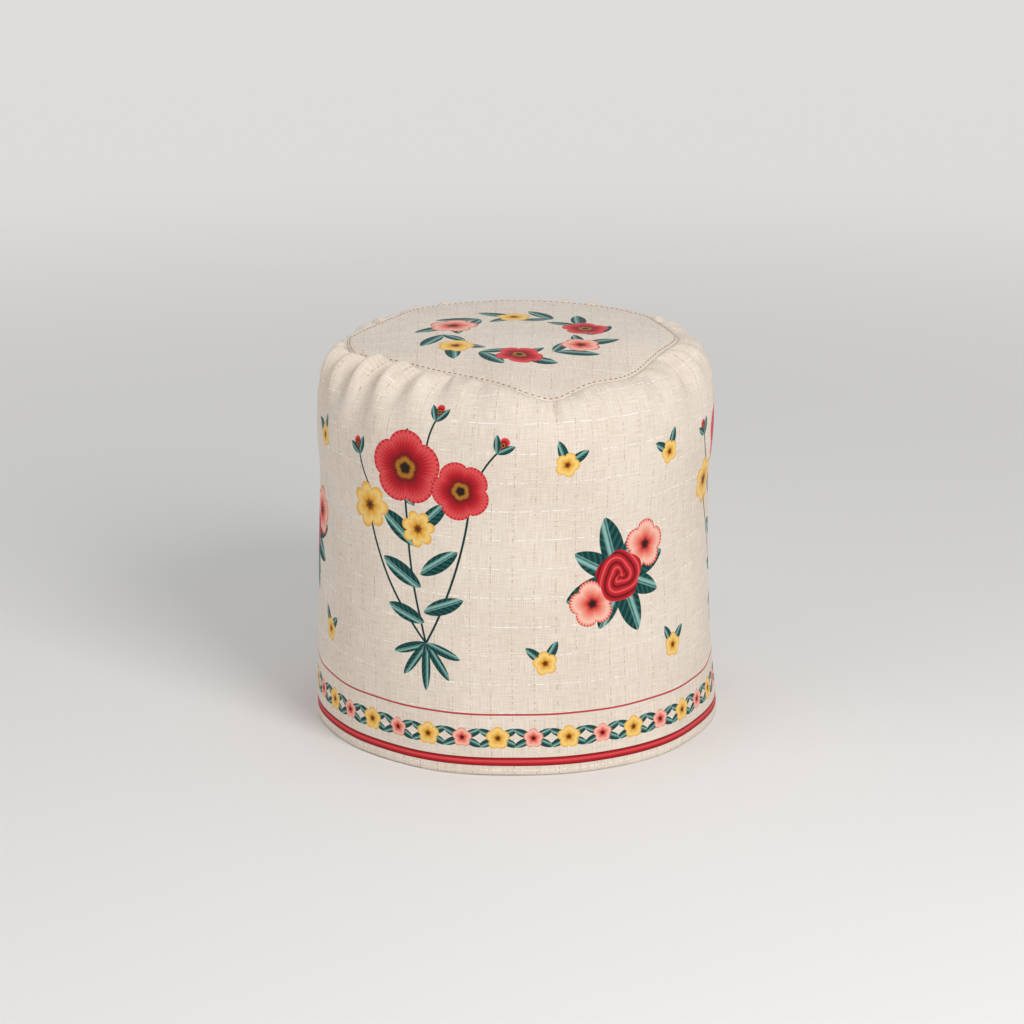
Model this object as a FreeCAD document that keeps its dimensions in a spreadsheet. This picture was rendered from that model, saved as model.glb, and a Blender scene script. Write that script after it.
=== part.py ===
"""A drum rice cooker that stands under its fitted cloth cover, as a parametric document.

Units are millimetres. +Z is up, the origin is on the surface that the cooker stands on, under the middle
of the drum, and the switch faces -Y.
"""

import FreeCAD, Part
import math
import os
import re

import Sketcher
from FreeCAD import Rotation, Vector

# Driving dimensions: name, size, meaning
DIMENSIONS = [
    ("foot_height", 8, "rubber foot, from the table to the tray"),
    ("foot_radius", 10, "rubber foot at its top"),
    ("foot_taper", 1.5, "how much narrower the foot is at the table"),
    ("foot_web", 3.5, "rubber between the screw head and the tray"),
    ("foot_inset", 21, "foot centre inside the tray wall"),
    ("foot_count", 4, "feet round the tray"),
    ("screw_radius", 1.75, "shank of every screw"),
    ("screw_head_radius", 3.5, "head of every screw"),
    ("screw_head_height", 2, "head of every screw"),
    ("screw_grip", 2.5, "shank length in the piece that it holds"),
    ("hole_clearance", 0.2, "screw hole over its shank"),
    ("tray_inset", 7, "tray wall inside the drum"),
    ("tray_wall", 2.5, "side wall of the base tray"),
    ("tray_floor", 3, "floor of the base tray"),
    ("tray_height", 30, "base tray from its floor to its flange"),
    ("tray_flange", 3, "flange that carries the drum"),
    ("tray_corner", 6, "rounding under the tray"),
    ("vent_count", 16, "cooling slots in the tray floor"),
    ("vent_length", 34, "cooling slot along its radius"),
    ("vent_width", 4, "cooling slot"),
    ("vent_inset", 40, "slot's outer end inside the tray wall"),
    ("bay_height", 24, "room for the switch under the barrel"),
    ("jacket_gap", 12.2, "air between the barrel and the drum"),
    ("drum_wall", 1, "sheet of the drum"),
    ("drum_lip", 10, "sheet turned in at both ends of the drum"),
    ("drum_bend", 3, "bend of the drum's lips"),
    ("rim_thickness", 5, "trim ring on the drum"),
    ("rim_overhang", 2, "trim ring outside the drum"),
    ("rim_skirt", 7, "trim ring down the drum's side"),
    ("rim_rounding", 3, "outer edge of the trim ring"),
    ("fit_gap", 0.3, "clearance round nested pieces"),
    ("snug_gap", 0.1, "clearance round pieces that are pressed together"),
    ("seat_gap", 0.2, "clearance under pieces that lift off"),
    ("barrel_gap", 4, "air between the pot and the barrel"),
    ("barrel_wall", 0.8, "sheet of the barrel"),
    ("barrel_bend", 6, "corner of the barrel's floor"),
    ("barrel_flange", 8, "barrel's flange on the drum's lip"),
    ("pot_radius", 110, "inner pot, outside its wall"),
    ("pot_wall", 1.6, "sheet of the inner pot"),
    ("pot_depth", 145, "inner pot from its base to its flange"),
    ("pot_corner", 16, "rounding of the pot's base"),
    ("pot_flange", 9, "pot's flange outside its wall"),
    ("pot_flange_thickness", 2, "pot's flange"),
    ("plate_inset", 20, "heating plate inside the pot's wall"),
    ("plate_thickness", 14, "heating plate"),
    ("plate_rounding", 3, "upper edge of the heating plate"),
    ("cap_clearance", 3, "heating plate's hole round the sensor cap"),
    ("element_inset", 28, "heater tube's circle inside the plate's edge"),
    ("element_radius", 4, "heater tube"),
    ("element_depth", 3, "heater tube's centre under the plate's underside, inwards"),
    ("terminal_radius", 2.5, "heater's cold ends"),
    ("terminal_drop", 8, "heater's cold ends under the barrel floor"),
    ("terminal_turn", 20, "angle of each cold end from the rear, in degrees"),
    ("terminal_clearance", 2, "hole in the barrel round a cold end"),
    ("standoff_height", 10, "pillar between the barrel and the plate"),
    ("standoff_radius", 5, "pillar between the barrel and the plate"),
    ("standoff_inset", 11, "pillar inside the plate's edge"),
    ("standoff_count", 3, "pillars under the plate"),
    ("band_height", 40, "keep-warm heater round the barrel"),
    ("band_thickness", 1.5, "keep-warm heater"),
    ("band_level", 55, "keep-warm heater over the barrel's floor"),
    ("cap_radius", 18, "sensor cap"),
    ("cap_wall", 1.5, "sensor cap"),
    ("cap_skirt", 12, "sensor cap's skirt"),
    ("tube_radius", 11, "sensor tube"),
    ("tube_wall", 1.8, "sensor tube"),
    ("tube_flange", 28, "sensor tube's flange"),
    ("tube_flange_thickness", 1.5, "sensor tube's flange"),
    ("tube_drop", 1.5, "sensor tube under the barrel"),
    ("ferrite_thickness", 4, "ferrite disc under the cap"),
    ("magnet_length", 8, "magnet in the sensor tube"),
    ("magnet_clearance", 0.6, "magnet and ferrite inside the sensor tube"),
    ("magnet_spare", 0.35, "gap left when the magnet is up"),
    ("rod_radius", 2.5, "magnet's rod"),
    ("rod_gap", 0.4, "between the rod and the lever"),
    ("spring_wire", 0.8, "wire radius of the sensor spring"),
    ("spring_turns", 5, "turns of the sensor spring"),
    ("lever_drop", 12, "lever's pivot under the barrel"),
    ("lever_angle", 6, "lever's press, in degrees"),
    ("lever_width", 10, "lever strip"),
    ("lever_thickness", 2, "lever strip"),
    ("lever_tail", 6, "lever past the magnet's rod"),
    ("pivot_inset", 58, "pivot inside the drum"),
    ("pivot_boss", 4.5, "lever's boss round the pin"),
    ("pin_radius", 2, "pivot pin"),
    ("pin_clearance", 0.05, "lever's bore round the pin"),
    ("bracket_wall", 1.5, "sheet of the lever's bracket"),
    ("bracket_length", 24, "lever's bracket"),
    ("bracket_side_gap", 1, "between the lever and each ear"),
    ("paddle_width", 26, "finger paddle"),
    ("paddle_height", 9, "finger paddle"),
    ("paddle_reach", 12, "finger paddle"),
    ("paddle_gap", 2.5, "finger paddle before the panel"),
    ("paddle_skin", 2.5, "paddle beyond the lever's end"),
    ("paddle_rounding", 2.5, "finger paddle's edges"),
    ("switch_length", 20, "contact switch, across"),
    ("switch_width", 8, "contact switch, front to back"),
    ("switch_height", 13, "contact switch"),
    ("switch_gap", 3, "contact switch under the lever"),
    ("switch_offset", 24, "contact switch in front of the pivot"),
    ("switch_tab", 5, "contact switch's solder tabs"),
    ("panel_thickness", 5.5, "control panel"),
    ("panel_angle", 34, "control panel round the drum, in degrees"),
    ("panel_top", 58, "control panel over the lever"),
    ("panel_rounding", 2, "control panel's outer edges"),
    ("window_width", 36, "drum's opening behind the panel"),
    ("slot_side_gap", 2, "panel's slot beside the lever"),
    ("slot_end_gap", 1.5, "panel's slot over and under the lever"),
    ("lamp_level", 40, "indicator lamps over the lever"),
    ("lamp_spread", 11, "each lamp from the middle"),
    ("lens_radius", 4, "indicator lens"),
    ("lens_flange", 5.5, "indicator lens's flange"),
    ("lens_proud", 1.5, "indicator lens's flange on the panel"),
    ("lamp_radius", 3, "indicator lamp"),
    ("lamp_length", 5, "indicator lamp"),
    ("inlet_width", 28, "power inlet's body"),
    ("inlet_height", 18, "power inlet's body"),
    ("inlet_depth", 22, "power inlet's body behind its flange"),
    ("inlet_wall", 2, "power inlet's walls"),
    ("inlet_back", 5, "power inlet's back wall"),
    ("inlet_flange", 8, "inlet's flange beside its body"),
    ("inlet_flange_thickness", 3, "inlet's flange"),
    ("contact_width", 2, "inlet's flat contact, across"),
    ("contact_height", 4, "inlet's flat contact"),
    ("contact_pitch", 7, "outer contacts from the middle"),
    ("contact_step", 2, "earth contact under the other two"),
    ("contact_proud", 13, "contact inside the socket"),
    ("contact_tail", 6, "contact behind the inlet"),
    ("wire_radius", 1.4, "insulated lead"),
    ("lead_side", 40, "live lead's run beside the switch, from the middle"),
    ("lead_drop", 4, "live lead's run under the inlet"),
    ("fuse_radius", 2.4, "thermal fuse"),
    ("fuse_length", 18, "thermal fuse"),
    ("fuse_offset", 30, "thermal fuse behind the middle"),
    ("handle_level", 34, "handle's top under the drum's top"),
    ("handle_angle", 40, "handle round the drum, in degrees"),
    ("handle_reach", 20, "handle out of the drum"),
    ("handle_thickness", 6, "handle's shelf"),
    ("handle_lip", 5, "handle's outer lip"),
    ("handle_drop", 14, "handle's lip and pad under the shelf"),
    ("handle_pad", 5, "handle's pad on the drum"),
    ("handle_rounding", 2, "handle's outer edges"),
    ("handle_screw_spread", 24, "handle screw from the handle's middle"),
    ("lid_lip_gap", 1.2, "lid's lip inside the pot"),
    ("lid_lip_depth", 6, "lid's lip in the pot"),
    ("lid_band", 1.2, "sheet of the lid's band"),
    ("lid_inset", 2, "lid's edge inside the pot's flange"),
    ("lid_band_cover", 5, "lid's band over the glass"),
    ("glass_thickness", 3.2, "lid's glass"),
    ("glass_rim", 18, "flat edge of the glass"),
    ("dome_rise", 34, "glass dome"),
    ("dome_run", 36, "slope of the glass dome"),
    ("dome_rounding", 40, "shoulder inside the glass dome"),
    ("dome_foot_rounding", 10, "foot of the glass dome"),
    ("vent_edge", 1.5, "steam vent's eyelet inside the level top of the glass"),
    ("vent_bore", 2.5, "steam vent"),
    ("vent_sleeve", 4, "steam vent's eyelet in the glass"),
    ("vent_rim", 6.5, "steam vent's eyelet on the glass"),
    ("vent_rim_thickness", 1, "steam vent's eyelet"),
    ("collar_radius", 16, "knob's collar"),
    ("collar_height", 3, "knob's collar"),
    ("knob_radius", 21, "lid's knob"),
    ("knob_neck", 11, "lid's knob at its neck"),
    ("knob_neck_height", 12, "lid's knob at its neck"),
    ("knob_flare", 7, "height over which the knob widens"),
    ("knob_height", 36, "lid's knob"),
    ("knob_rounding", 5, "lid's knob"),
    ("washer_radius", 8, "head of the knob's screw"),
    ("washer_height", 2, "head of the knob's screw"),
    ("knob_screw_grip", 12, "knob's screw inside the knob"),
    ("cloth", 1.6, "lined cloth of the cover"),
    ("cover_ease", 4.4, "air between the handles and the cover"),
    ("cover_flare", 6, "cover's hem outside its waist"),
    ("cover_swell", 3, "cover's shoulder outside its waist"),
    ("cover_draw", 20, "cover's top seam inside its waist"),
    ("cover_crown", 4, "rise of the cover's top panel"),
    ("crown_flat", 46, "level middle of the cover's top panel, as a radius"),
    ("seam_lip", 6, "side panel's edge under the top panel"),
    ("shoulder_height", 28, "round of the cover's shoulder, in height"),
    ("cover_shoulder", 62, "shoulder's widest line under the top seam"),
    ("pucker_count", 22, "gathers under the top seam"),
    ("pucker_depth", 1.8, "gathers at their deepest"),
    ("hem_wave", 0.8, "soft waves left at the hem"),
]

# Levels and radii that follow from the driving dimensions
DERIVED = {
    "tray_top": "foot_height + tray_height",
    "barrel_low": "tray_top + bay_height",
    "barrel_floor": "barrel_low + barrel_wall",
    "plate_low": "barrel_floor + standoff_height",
    "plate_top": "plate_low + plate_thickness",
    "pot_low": "plate_top + seat_gap",
    "pot_top": "pot_low + pot_depth",
    "pot_seat": "pot_top - pot_flange_thickness",
    "rim_top": "pot_seat - seat_gap",
    "barrel_top": "rim_top - rim_thickness",
    "drum_top": "barrel_top - barrel_wall",
    "barrel_inner": "pot_radius + barrel_gap",
    "barrel_outer": "barrel_inner + barrel_wall",
    "drum_inner": "barrel_outer + jacket_gap",
    "drum_radius": "drum_inner + drum_wall",
    "tray_radius": "drum_radius - tray_inset",
    "tray_inner": "tray_radius - tray_wall",
    "foot_circle": "tray_radius - foot_inset",
    "hole_radius": "screw_radius + hole_clearance",
    "plate_radius": "pot_radius - plate_inset",
    "plate_hole": "cap_radius + cap_clearance",
    "element_circle": "plate_radius - element_inset",
    "element_level": "plate_low + element_depth",
    "terminal_x": "element_circle * sin(terminal_turn)",
    "terminal_y": "element_circle * cos(terminal_turn)",
    "terminal_low": "barrel_low - terminal_drop",
    "standoff_circle": "plate_radius - standoff_inset",
    "tube_inner": "tube_radius - tube_wall",
    "tube_seat": "barrel_floor + tube_flange_thickness",
    "ferrite_low": "plate_top - cap_wall - ferrite_thickness",
    "magnet_radius": "tube_inner - magnet_clearance",
    "pivot_offset": "drum_radius - pivot_inset",
    "magnet_lift": "(pivot_offset + rod_radius) * tan(lever_angle) + rod_gap / 10",
    "magnet_top": "ferrite_low - magnet_spare - magnet_lift",
    "spring_circle": "(tube_radius + cap_radius - cap_wall) / 2",
    "lever_level": "barrel_low - lever_drop",
    "lever_top": "lever_level + lever_thickness / 2",
    "drum_clear": "drum_radius + snug_gap",
    "panel_outer": "drum_clear + panel_thickness",
    "panel_high": "lever_level + panel_top",
    "lamp_z": "lever_level + lamp_level",
    "paddle_back": "panel_outer + paddle_gap",
    "paddle_front": "paddle_back + paddle_reach",
    "slot_drop": "(panel_outer - pivot_offset) * sin(lever_angle)",
    "slot_low": "lever_level - lever_thickness / 2 - slot_drop - slot_end_gap",
    "slot_high": "lever_top + slot_end_gap",
    "bracket_half": "lever_width / 2 + bracket_side_gap + bracket_wall",
    "switch_y": "-pivot_offset - switch_offset",
    "switch_top": "lever_level - lever_thickness / 2 - switch_offset * tan(lever_angle) - switch_gap",
    "inlet_level": "lever_level",
    "inlet_inside": "drum_clear - inlet_depth",
    "socket_floor": "inlet_inside + inlet_back",
    "contact_inner": "inlet_inside - contact_tail",
    "handle_high": "drum_top - handle_level",
    "handle_screw_z": "handle_high - handle_thickness - handle_drop / 2",
    "lid_seat": "pot_top + seat_gap",
    "lid_radius": "pot_radius + pot_flange - lid_inset",
    "lid_lip": "pot_radius - pot_wall - lid_lip_gap",
    "glass_low": "lid_seat + lid_band + seat_gap / 2",
    "glass_high": "glass_low + glass_thickness",
    "band_top": "glass_high + seat_gap / 2 + lid_band",
    "glass_edge": "lid_radius - lid_band - fit_gap",
    "dome_foot": "lid_radius - lid_band - glass_rim",
    "dome_flat": "dome_foot - dome_run",
    "dome_shift": "glass_thickness * tan(atan(dome_rise / dome_run) / 2)",
    "dome_level": "dome_flat - dome_rounding * tan(atan(dome_rise / dome_run) / 2)",
    "vent_offset": "dome_level - vent_rim - vent_edge",
    "crown_low": "glass_low + dome_rise",
    "crown_high": "crown_low + glass_thickness",
    "knob_low": "crown_high + collar_height",
    "knob_top": "knob_low + knob_height",
    "handle_edge": "drum_radius + handle_reach",
    "waist_radius": "handle_edge + cover_ease + cloth",
    "hem_radius": "waist_radius + cover_flare",
    "shoulder_radius": "waist_radius + cover_swell",
    "seam_radius": "waist_radius - cover_draw",
    "seam_level": "knob_top + seat_gap - cover_crown",
}

WORD = re.compile(r"[A-Za-z_]\w*")
SIZES = {alias for alias, _, _ in DIMENSIONS}

doc = FreeCAD.newDocument("RiceCooker")
sheet = doc.addObject("Spreadsheet::Sheet", "Dimensions")
for row, (alias, size, meaning) in enumerate(DIMENSIONS, start=1):
    sheet.set(f"A{row}", meaning)
    sheet.set(f"B{row}", str(size))
    sheet.setAlias(f"B{row}", alias)
doc.recompute()

pieces = []


def formula(text):
    """The expression that the document understands, from names of dimensions and derived levels."""

    def full(match):
        word = match.group()
        if word in DERIVED:
            return f"({formula(DERIVED[word])})"
        return f"Dimensions.{word}" if word in SIZES else word

    return WORD.sub(full, text)


def value(text):
    """The number that an expression has now."""
    return float(sheet.evalExpression(formula(text)))


def bind(item, name, text):
    item.setExpression(name, formula(text))


def place(item, x="0", y="0", z="0"):
    for axis, text in zip("xyz", (x, y, z)):
        bind(item, f"Placement.Base.{axis}", text)


def publish(item, label):
    """Names a finished piece and puts it on the list that is written out."""
    item.Label = label
    pieces.append(item)
    return item


# Sketches


def corner_points(corners):
    """Numbers for each corner: its place, and where its rounding starts and ends and turns about."""
    points = [Vector(value(c[0]), value(c[1]), 0) for c in corners]
    found = []
    for i, corner in enumerate(corners):
        here = points[i]
        before = (here - points[i - 1]).normalize()
        after = (points[(i + 1) % len(points)] - here).normalize()
        radius = value(corner[2]) if len(corner) > 2 else 0
        left = before.cross(after).z > 0
        reach = radius * math.tan(before.getAngle(after) / 2)
        start = here - before * reach
        side = Vector(-before.y, before.x, 0) * (radius if left else -radius)
        found.append((here, start, here + after * reach, start + side, radius, left))
    return found


def pin_point(sketch, geometry, end, corner):
    """Ties a point's two distances from the sketch's origin to the sheet."""
    for kind, axis, text in (("DistanceX", -2, corner[0]), ("DistanceY", -1, corner[1])):
        if text == "0":
            sketch.addConstraint(Sketcher.Constraint("PointOnObject", geometry, end, axis))
            continue
        index = sketch.addConstraint(Sketcher.Constraint(kind, -1, 1, geometry, end, value(text)))
        bind(sketch, f"Constraints[{index}]", text)


def outline(body, plane, corners):
    """A closed outline in a body's origin plane. A corner is (across, up) or (across, up, rounding)."""
    sketch = body.newObject("Sketcher::SketchObject", body.Name + "_outline")
    support = next(f for f in body.Origin.OriginFeatures if f.Role == plane)
    sketch.AttachmentSupport = [(support, "")]
    sketch.MapMode = "FlatFace"
    found = corner_points(corners)
    count = len(corners)
    for i in range(count):
        sketch.addGeometry(Part.LineSegment(found[i][2], found[(i + 1) % count][1]), False)
    for i, (here, start, finish, middle, radius, left) in enumerate(found):
        line_in, line_out = (i - 1) % count, i
        if not radius:
            sketch.addConstraint(Sketcher.Constraint("Coincident", line_in, 2, line_out, 1))
            pin_point(sketch, line_out, 1, corners[i])
            continue
        first, last = (start, finish) if left else (finish, start)
        angles = [math.atan2(p.y - middle.y, p.x - middle.x) for p in (first, last)]
        if angles[1] < angles[0]:
            angles[1] += 2 * math.pi
        circle = Part.Circle(middle, Vector(0, 0, 1), radius)
        arc = sketch.addGeometry(Part.ArcOfCircle(circle, *angles), False)
        point = sketch.addGeometry(Part.Point(here), True)
        pin_point(sketch, point, 1, corners[i])
        sketch.addConstraint(Sketcher.Constraint("PointOnObject", point, 1, line_in))
        sketch.addConstraint(Sketcher.Constraint("PointOnObject", point, 1, line_out))
        ends = (1, 2) if left else (2, 1)
        sketch.addConstraint(Sketcher.Constraint("Tangent", line_in, 2, arc, ends[0]))
        sketch.addConstraint(Sketcher.Constraint("Tangent", arc, ends[1], line_out, 1))
        index = sketch.addConstraint(Sketcher.Constraint("Radius", arc, radius))
        bind(sketch, f"Constraints[{index}]", corners[i][2])
    sketch.Visibility = False
    return sketch


def turned(name, corners, angle=None, facing=0):
    """A body turned about Z from an outline in (radius, height), whole or a sector that faces one way."""
    body = doc.addObject("PartDesign::Body", name)
    sketch = outline(body, "XZ_Plane", corners)
    turn = body.newObject("PartDesign::Revolution", name + "_turn")
    turn.Profile = sketch
    turn.ReferenceAxis = (sketch, ["V_Axis"])
    turn.Angle = 360
    if angle:
        turn.Midplane = True
        bind(turn, "Angle", angle)
        body.Placement.Rotation = Rotation(Vector(0, 0, 1), facing)
    doc.recompute()
    return body


# Solids

ALONG = {
    "x": Rotation(Vector(0, 1, 0), 90),
    "y": Rotation(Vector(1, 0, 0), -90),
    "z": Rotation(),
}


def rod(name, radius, length, x="0", y="0", z="0", along="z"):
    """A cylinder that starts at a point and runs along one axis."""
    item = doc.addObject("Part::Cylinder", name)
    bind(item, "Radius", radius)
    bind(item, "Height", length)
    item.Placement.Rotation = ALONG[along]
    place(item, x, y, z)
    return item


def block(name, size, x="0", y="0", z="0"):
    """A box, from its lowest corner."""
    item = doc.addObject("Part::Box", name)
    for side, text in zip(("Length", "Width", "Height"), size):
        bind(item, side, text)
    place(item, x, y, z)
    return item


def fused(name, *items):
    item = doc.addObject("Part::MultiFuse", name)
    item.Shapes = list(items)
    item.Refine = True
    return item


def without(name, base, *tools):
    """The base with every tool cut out of it."""
    for i, tool in enumerate(tools):
        item = doc.addObject("Part::Cut", f"{name}_cut{i}")
        item.Base = base
        item.Tool = tool
        item.Refine = True
        base = item
    return base


def rounded(name, base, radius, chosen=bool):
    """The base with a fillet on the edges that a test picks, or on all of them."""
    doc.recompute()
    item = doc.addObject("Part::Fillet", name)
    item.Base = base
    picked = [n for n, edge in enumerate(base.Shape.Edges, start=1) if chosen(edge)]
    item.Edges = [(n, value(radius), value(radius)) for n in picked]
    return item


def group(name, items):
    """Several separate solids that share one node."""
    item = doc.addObject("Part::Compound", name)
    item.Links = items
    return item


def around(circle, count, first=0.0):
    """Places on a circle, as pairs of expressions, with the first at an angle in degrees."""
    total = int(value(count))
    turns = [f"({first} + 360 * {i} / {count})" for i in range(total)]
    return [(f"{circle} * cos({turn})", f"{circle} * sin({turn})") for turn in turns]


def runs_along_y(edge):
    return abs(edge.tangentAt(edge.FirstParameter).y) > 0.9


# Feet and base tray


def make_feet():
    feet, screws = [], []
    head_level = "foot_height - foot_web - screw_head_height"
    for i, (x, y) in enumerate(around("foot_circle", "foot_count", 45.0)):
        cone = doc.addObject("Part::Cone", f"foot_cone{i}")
        bind(cone, "Radius1", "foot_radius - foot_taper")
        bind(cone, "Radius2", "foot_radius")
        bind(cone, "Height", "foot_height")
        place(cone, x, y)
        recess = rod(f"foot_recess{i}", "screw_head_radius + fit_gap", "foot_height - foot_web", x, y)
        hole = rod(f"foot_hole{i}", "hole_radius", "foot_height", x, y)
        feet.append(without(f"foot{i}", cone, recess, hole))
        head = rod(f"foot_screw_head{i}", "screw_head_radius", "screw_head_height", x, y, head_level)
        length = "screw_head_height + foot_web + screw_grip"
        shank = rod(f"foot_screw_shank{i}", "screw_radius", length, x, y, head_level)
        screws.append(fused(f"foot_screw{i}", head, shank))
    publish(group("feet", feet), "rubber_feet")
    publish(group("foot_screws", screws), "foot_screws")


def make_tray():
    body = turned("tray", [
        ("0", "foot_height"),
        ("tray_radius", "foot_height", "tray_corner"),
        ("tray_radius", "tray_top - tray_flange"),
        ("drum_radius", "tray_top - tray_flange"),
        ("drum_radius", "tray_top"),
        ("tray_inner", "tray_top"),
        ("tray_inner", "foot_height + tray_floor", "tray_corner - tray_floor"),
        ("0", "foot_height + tray_floor"),
    ])
    outer = "tray_radius - vent_inset"
    inner = f"{outer} - vent_length"
    round_end = "vent_width * 0.45"
    slot = outline(body, "XY_Plane", [
        (inner, "-vent_width / 2", round_end),
        (outer, "-vent_width / 2", round_end),
        (outer, "vent_width / 2", round_end),
        (inner, "vent_width / 2", round_end),
    ])
    pocket = body.newObject("PartDesign::Pocket", "tray_vent")
    pocket.Profile = slot
    pocket.Type = "ThroughAll"
    pocket.Reversed = True
    doc.recompute()
    pattern = body.newObject("PartDesign::PolarPattern", "tray_vents")
    pattern.Originals = [pocket]
    pattern.Axis = (next(f for f in body.Origin.OriginFeatures if f.Role == "Z_Axis"), [""])
    pattern.Angle = 360
    bind(pattern, "Occurrences", "vent_count")
    body.Tip = pattern
    doc.recompute()
    holes = []
    for i, (x, y) in enumerate(around("foot_circle", "foot_count", 45.0)):
        holes.append(rod(f"tray_screw_hole{i}", "hole_radius", "tray_height", x, y, "foot_height"))
    floor = "foot_height + tray_floor"
    size = ("switch_length", "switch_width", f"switch_top - switch_height - ({floor})")
    post = block("switch_post", size, "-switch_length / 2", "switch_y - switch_width / 2", floor)
    publish(fused("tray_with_post", without("tray_drilled", body, *holes), post), "base_tray")


# Drum, trim ring and barrel


def handle_screw_places():
    """Each handle screw: its side, and its place across."""
    return [(side, across) for side in (-1, 1) for across in (-1, 1)]


def make_drum():
    body = turned("drum", [
        ("drum_radius - drum_lip", "tray_top"),
        ("drum_radius", "tray_top", "drum_bend"),
        ("drum_radius", "drum_top", "drum_bend"),
        ("drum_radius - drum_lip", "drum_top"),
        ("drum_radius - drum_lip", "drum_top - drum_wall"),
        ("drum_inner", "drum_top - drum_wall", "drum_bend - drum_wall"),
        ("drum_inner", "tray_top + drum_wall", "drum_bend - drum_wall"),
        ("drum_radius - drum_lip", "tray_top + drum_wall"),
    ])
    low = "slot_low - slot_end_gap"
    size = ("window_width", "drum_lip * 2", f"lamp_z + lens_flange + slot_end_gap - ({low})")
    window = block("drum_window", size, "-window_width / 2", "-drum_radius - drum_lip", low)
    size = ("inlet_width + 2 * fit_gap", "drum_lip * 3", "inlet_height + 2 * fit_gap")
    inlet = block("drum_inlet_hole", size, "-inlet_width / 2 - fit_gap", "drum_radius - drum_lip * 1.5",
                  "inlet_level - inlet_height / 2 - fit_gap")
    inlet_screws = []
    for side in (-1, 1):
        x = f"{side} * (inlet_width + inlet_flange) / 2"
        inlet_screws.append(rod(f"drum_inlet_screw_hole{side + 1}", "hole_radius", "drum_lip * 3", x,
                                "drum_radius - drum_lip * 1.5", "inlet_level", "y"))
    handle_screws = []
    for side, across in handle_screw_places():
        x = "drum_radius - drum_lip" if side > 0 else "-drum_radius - drum_lip"
        handle_screws.append(rod(f"drum_handle_hole{side + 1}{across + 1}", "hole_radius", "drum_lip * 2", x,
                                 f"{across} * handle_screw_spread", "handle_screw_z", "x"))
    publish(without("drum_sheet", body, window, inlet, *inlet_screws, *handle_screws), "drum_shell")


def make_rim():
    body = turned("rim", [
        ("pot_radius + fit_gap * 4", "barrel_top"),
        ("drum_clear", "barrel_top"),
        ("drum_clear", "barrel_top - rim_skirt"),
        ("drum_radius + rim_overhang", "barrel_top - rim_skirt"),
        ("drum_radius + rim_overhang", "rim_top", "rim_rounding"),
        ("pot_radius + fit_gap * 4", "rim_top"),
    ])
    publish(body, "rim_ring")


def make_barrel():
    edge = "drum_radius - drum_lip + barrel_flange"
    body = turned("barrel", [
        ("tube_radius + fit_gap", "barrel_low"),
        ("barrel_outer", "barrel_low", "barrel_bend"),
        ("barrel_outer", "drum_top"),
        (edge, "drum_top"),
        (edge, "barrel_top"),
        ("barrel_inner", "barrel_top"),
        ("barrel_inner", "barrel_floor", "barrel_bend - barrel_wall"),
        ("tube_radius + fit_gap", "barrel_floor"),
    ])
    holes = []
    for i, (x, y) in enumerate(around("standoff_circle", "standoff_count", 90.0)):
        holes.append(rod(f"barrel_screw_hole{i}", "hole_radius", "barrel_wall * 3", x, y,
                         "barrel_low - barrel_wall"))
    for side in (-1, 1):
        holes.append(rod(f"barrel_terminal_hole{side + 1}", "terminal_radius + terminal_clearance",
                         "barrel_wall * 3", f"{side} * terminal_x", "terminal_y", "barrel_low - barrel_wall"))
    publish(without("barrel_sheet", body, *holes), "inner_barrel")


# Pot


def make_pot():
    body = turned("pot", [
        ("0", "pot_low"),
        ("pot_radius", "pot_low", "pot_corner"),
        ("pot_radius", "pot_seat"),
        ("pot_radius + pot_flange", "pot_seat"),
        ("pot_radius + pot_flange", "pot_top"),
        ("pot_radius - pot_wall", "pot_top"),
        ("pot_radius - pot_wall", "pot_low + pot_wall", "pot_corner - pot_wall"),
        ("0", "pot_low + pot_wall"),
    ])
    publish(body, "inner_pot")


# Heating plate and what carries it


def make_heater():
    groove_inner = "element_circle - element_radius - snug_gap"
    groove_outer = "element_circle + element_radius + snug_gap"
    groove_top = "element_level + element_radius + snug_gap"
    body = turned("plate", [
        ("plate_hole", "plate_low"),
        (groove_inner, "plate_low"),
        (groove_inner, groove_top),
        (groove_outer, groove_top),
        (groove_outer, "plate_low"),
        ("plate_radius", "plate_low"),
        ("plate_radius", "plate_top", "plate_rounding"),
        ("plate_hole", "plate_top"),
    ])
    cuts, standoffs, screws = [], [], []
    for i, (x, y) in enumerate(around("standoff_circle", "standoff_count", 90.0)):
        pillar = rod(f"standoff_rod{i}", "standoff_radius", "standoff_height", x, y, "barrel_floor")
        bore = rod(f"standoff_bore{i}", "hole_radius", "standoff_height", x, y, "barrel_floor")
        standoffs.append(without(f"standoff{i}", pillar, bore))
        cuts.append(rod(f"plate_screw_hole{i}", "hole_radius", "plate_thickness / 2", x, y, "plate_low"))
        head_level = "barrel_low - screw_head_height"
        head = rod(f"plate_screw_head{i}", "screw_head_radius", "screw_head_height", x, y, head_level)
        length = "screw_head_height + barrel_wall + standoff_height + screw_grip"
        shank = rod(f"plate_screw_shank{i}", "screw_radius", length, x, y, head_level)
        screws.append(fused(f"plate_screw{i}", head, shank))
    ring = doc.addObject("Part::Torus", "heater_tube")
    bind(ring, "Radius1", "element_circle")
    bind(ring, "Radius2", "element_radius")
    place(ring, z="element_level")
    length = "element_level - terminal_low"
    ends = [rod(f"heater_end{side + 1}", "terminal_radius", length, f"{side} * terminal_x", "terminal_y",
                "terminal_low") for side in (-1, 1)]
    publish(without("plate_drilled", body, *cuts), "heating_plate")
    publish(fused("heater_with_ends", ring, *ends), "heating_element")
    publish(group("standoffs", standoffs), "plate_standoffs")
    publish(group("plate_screws", screws), "plate_screws")


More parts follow.
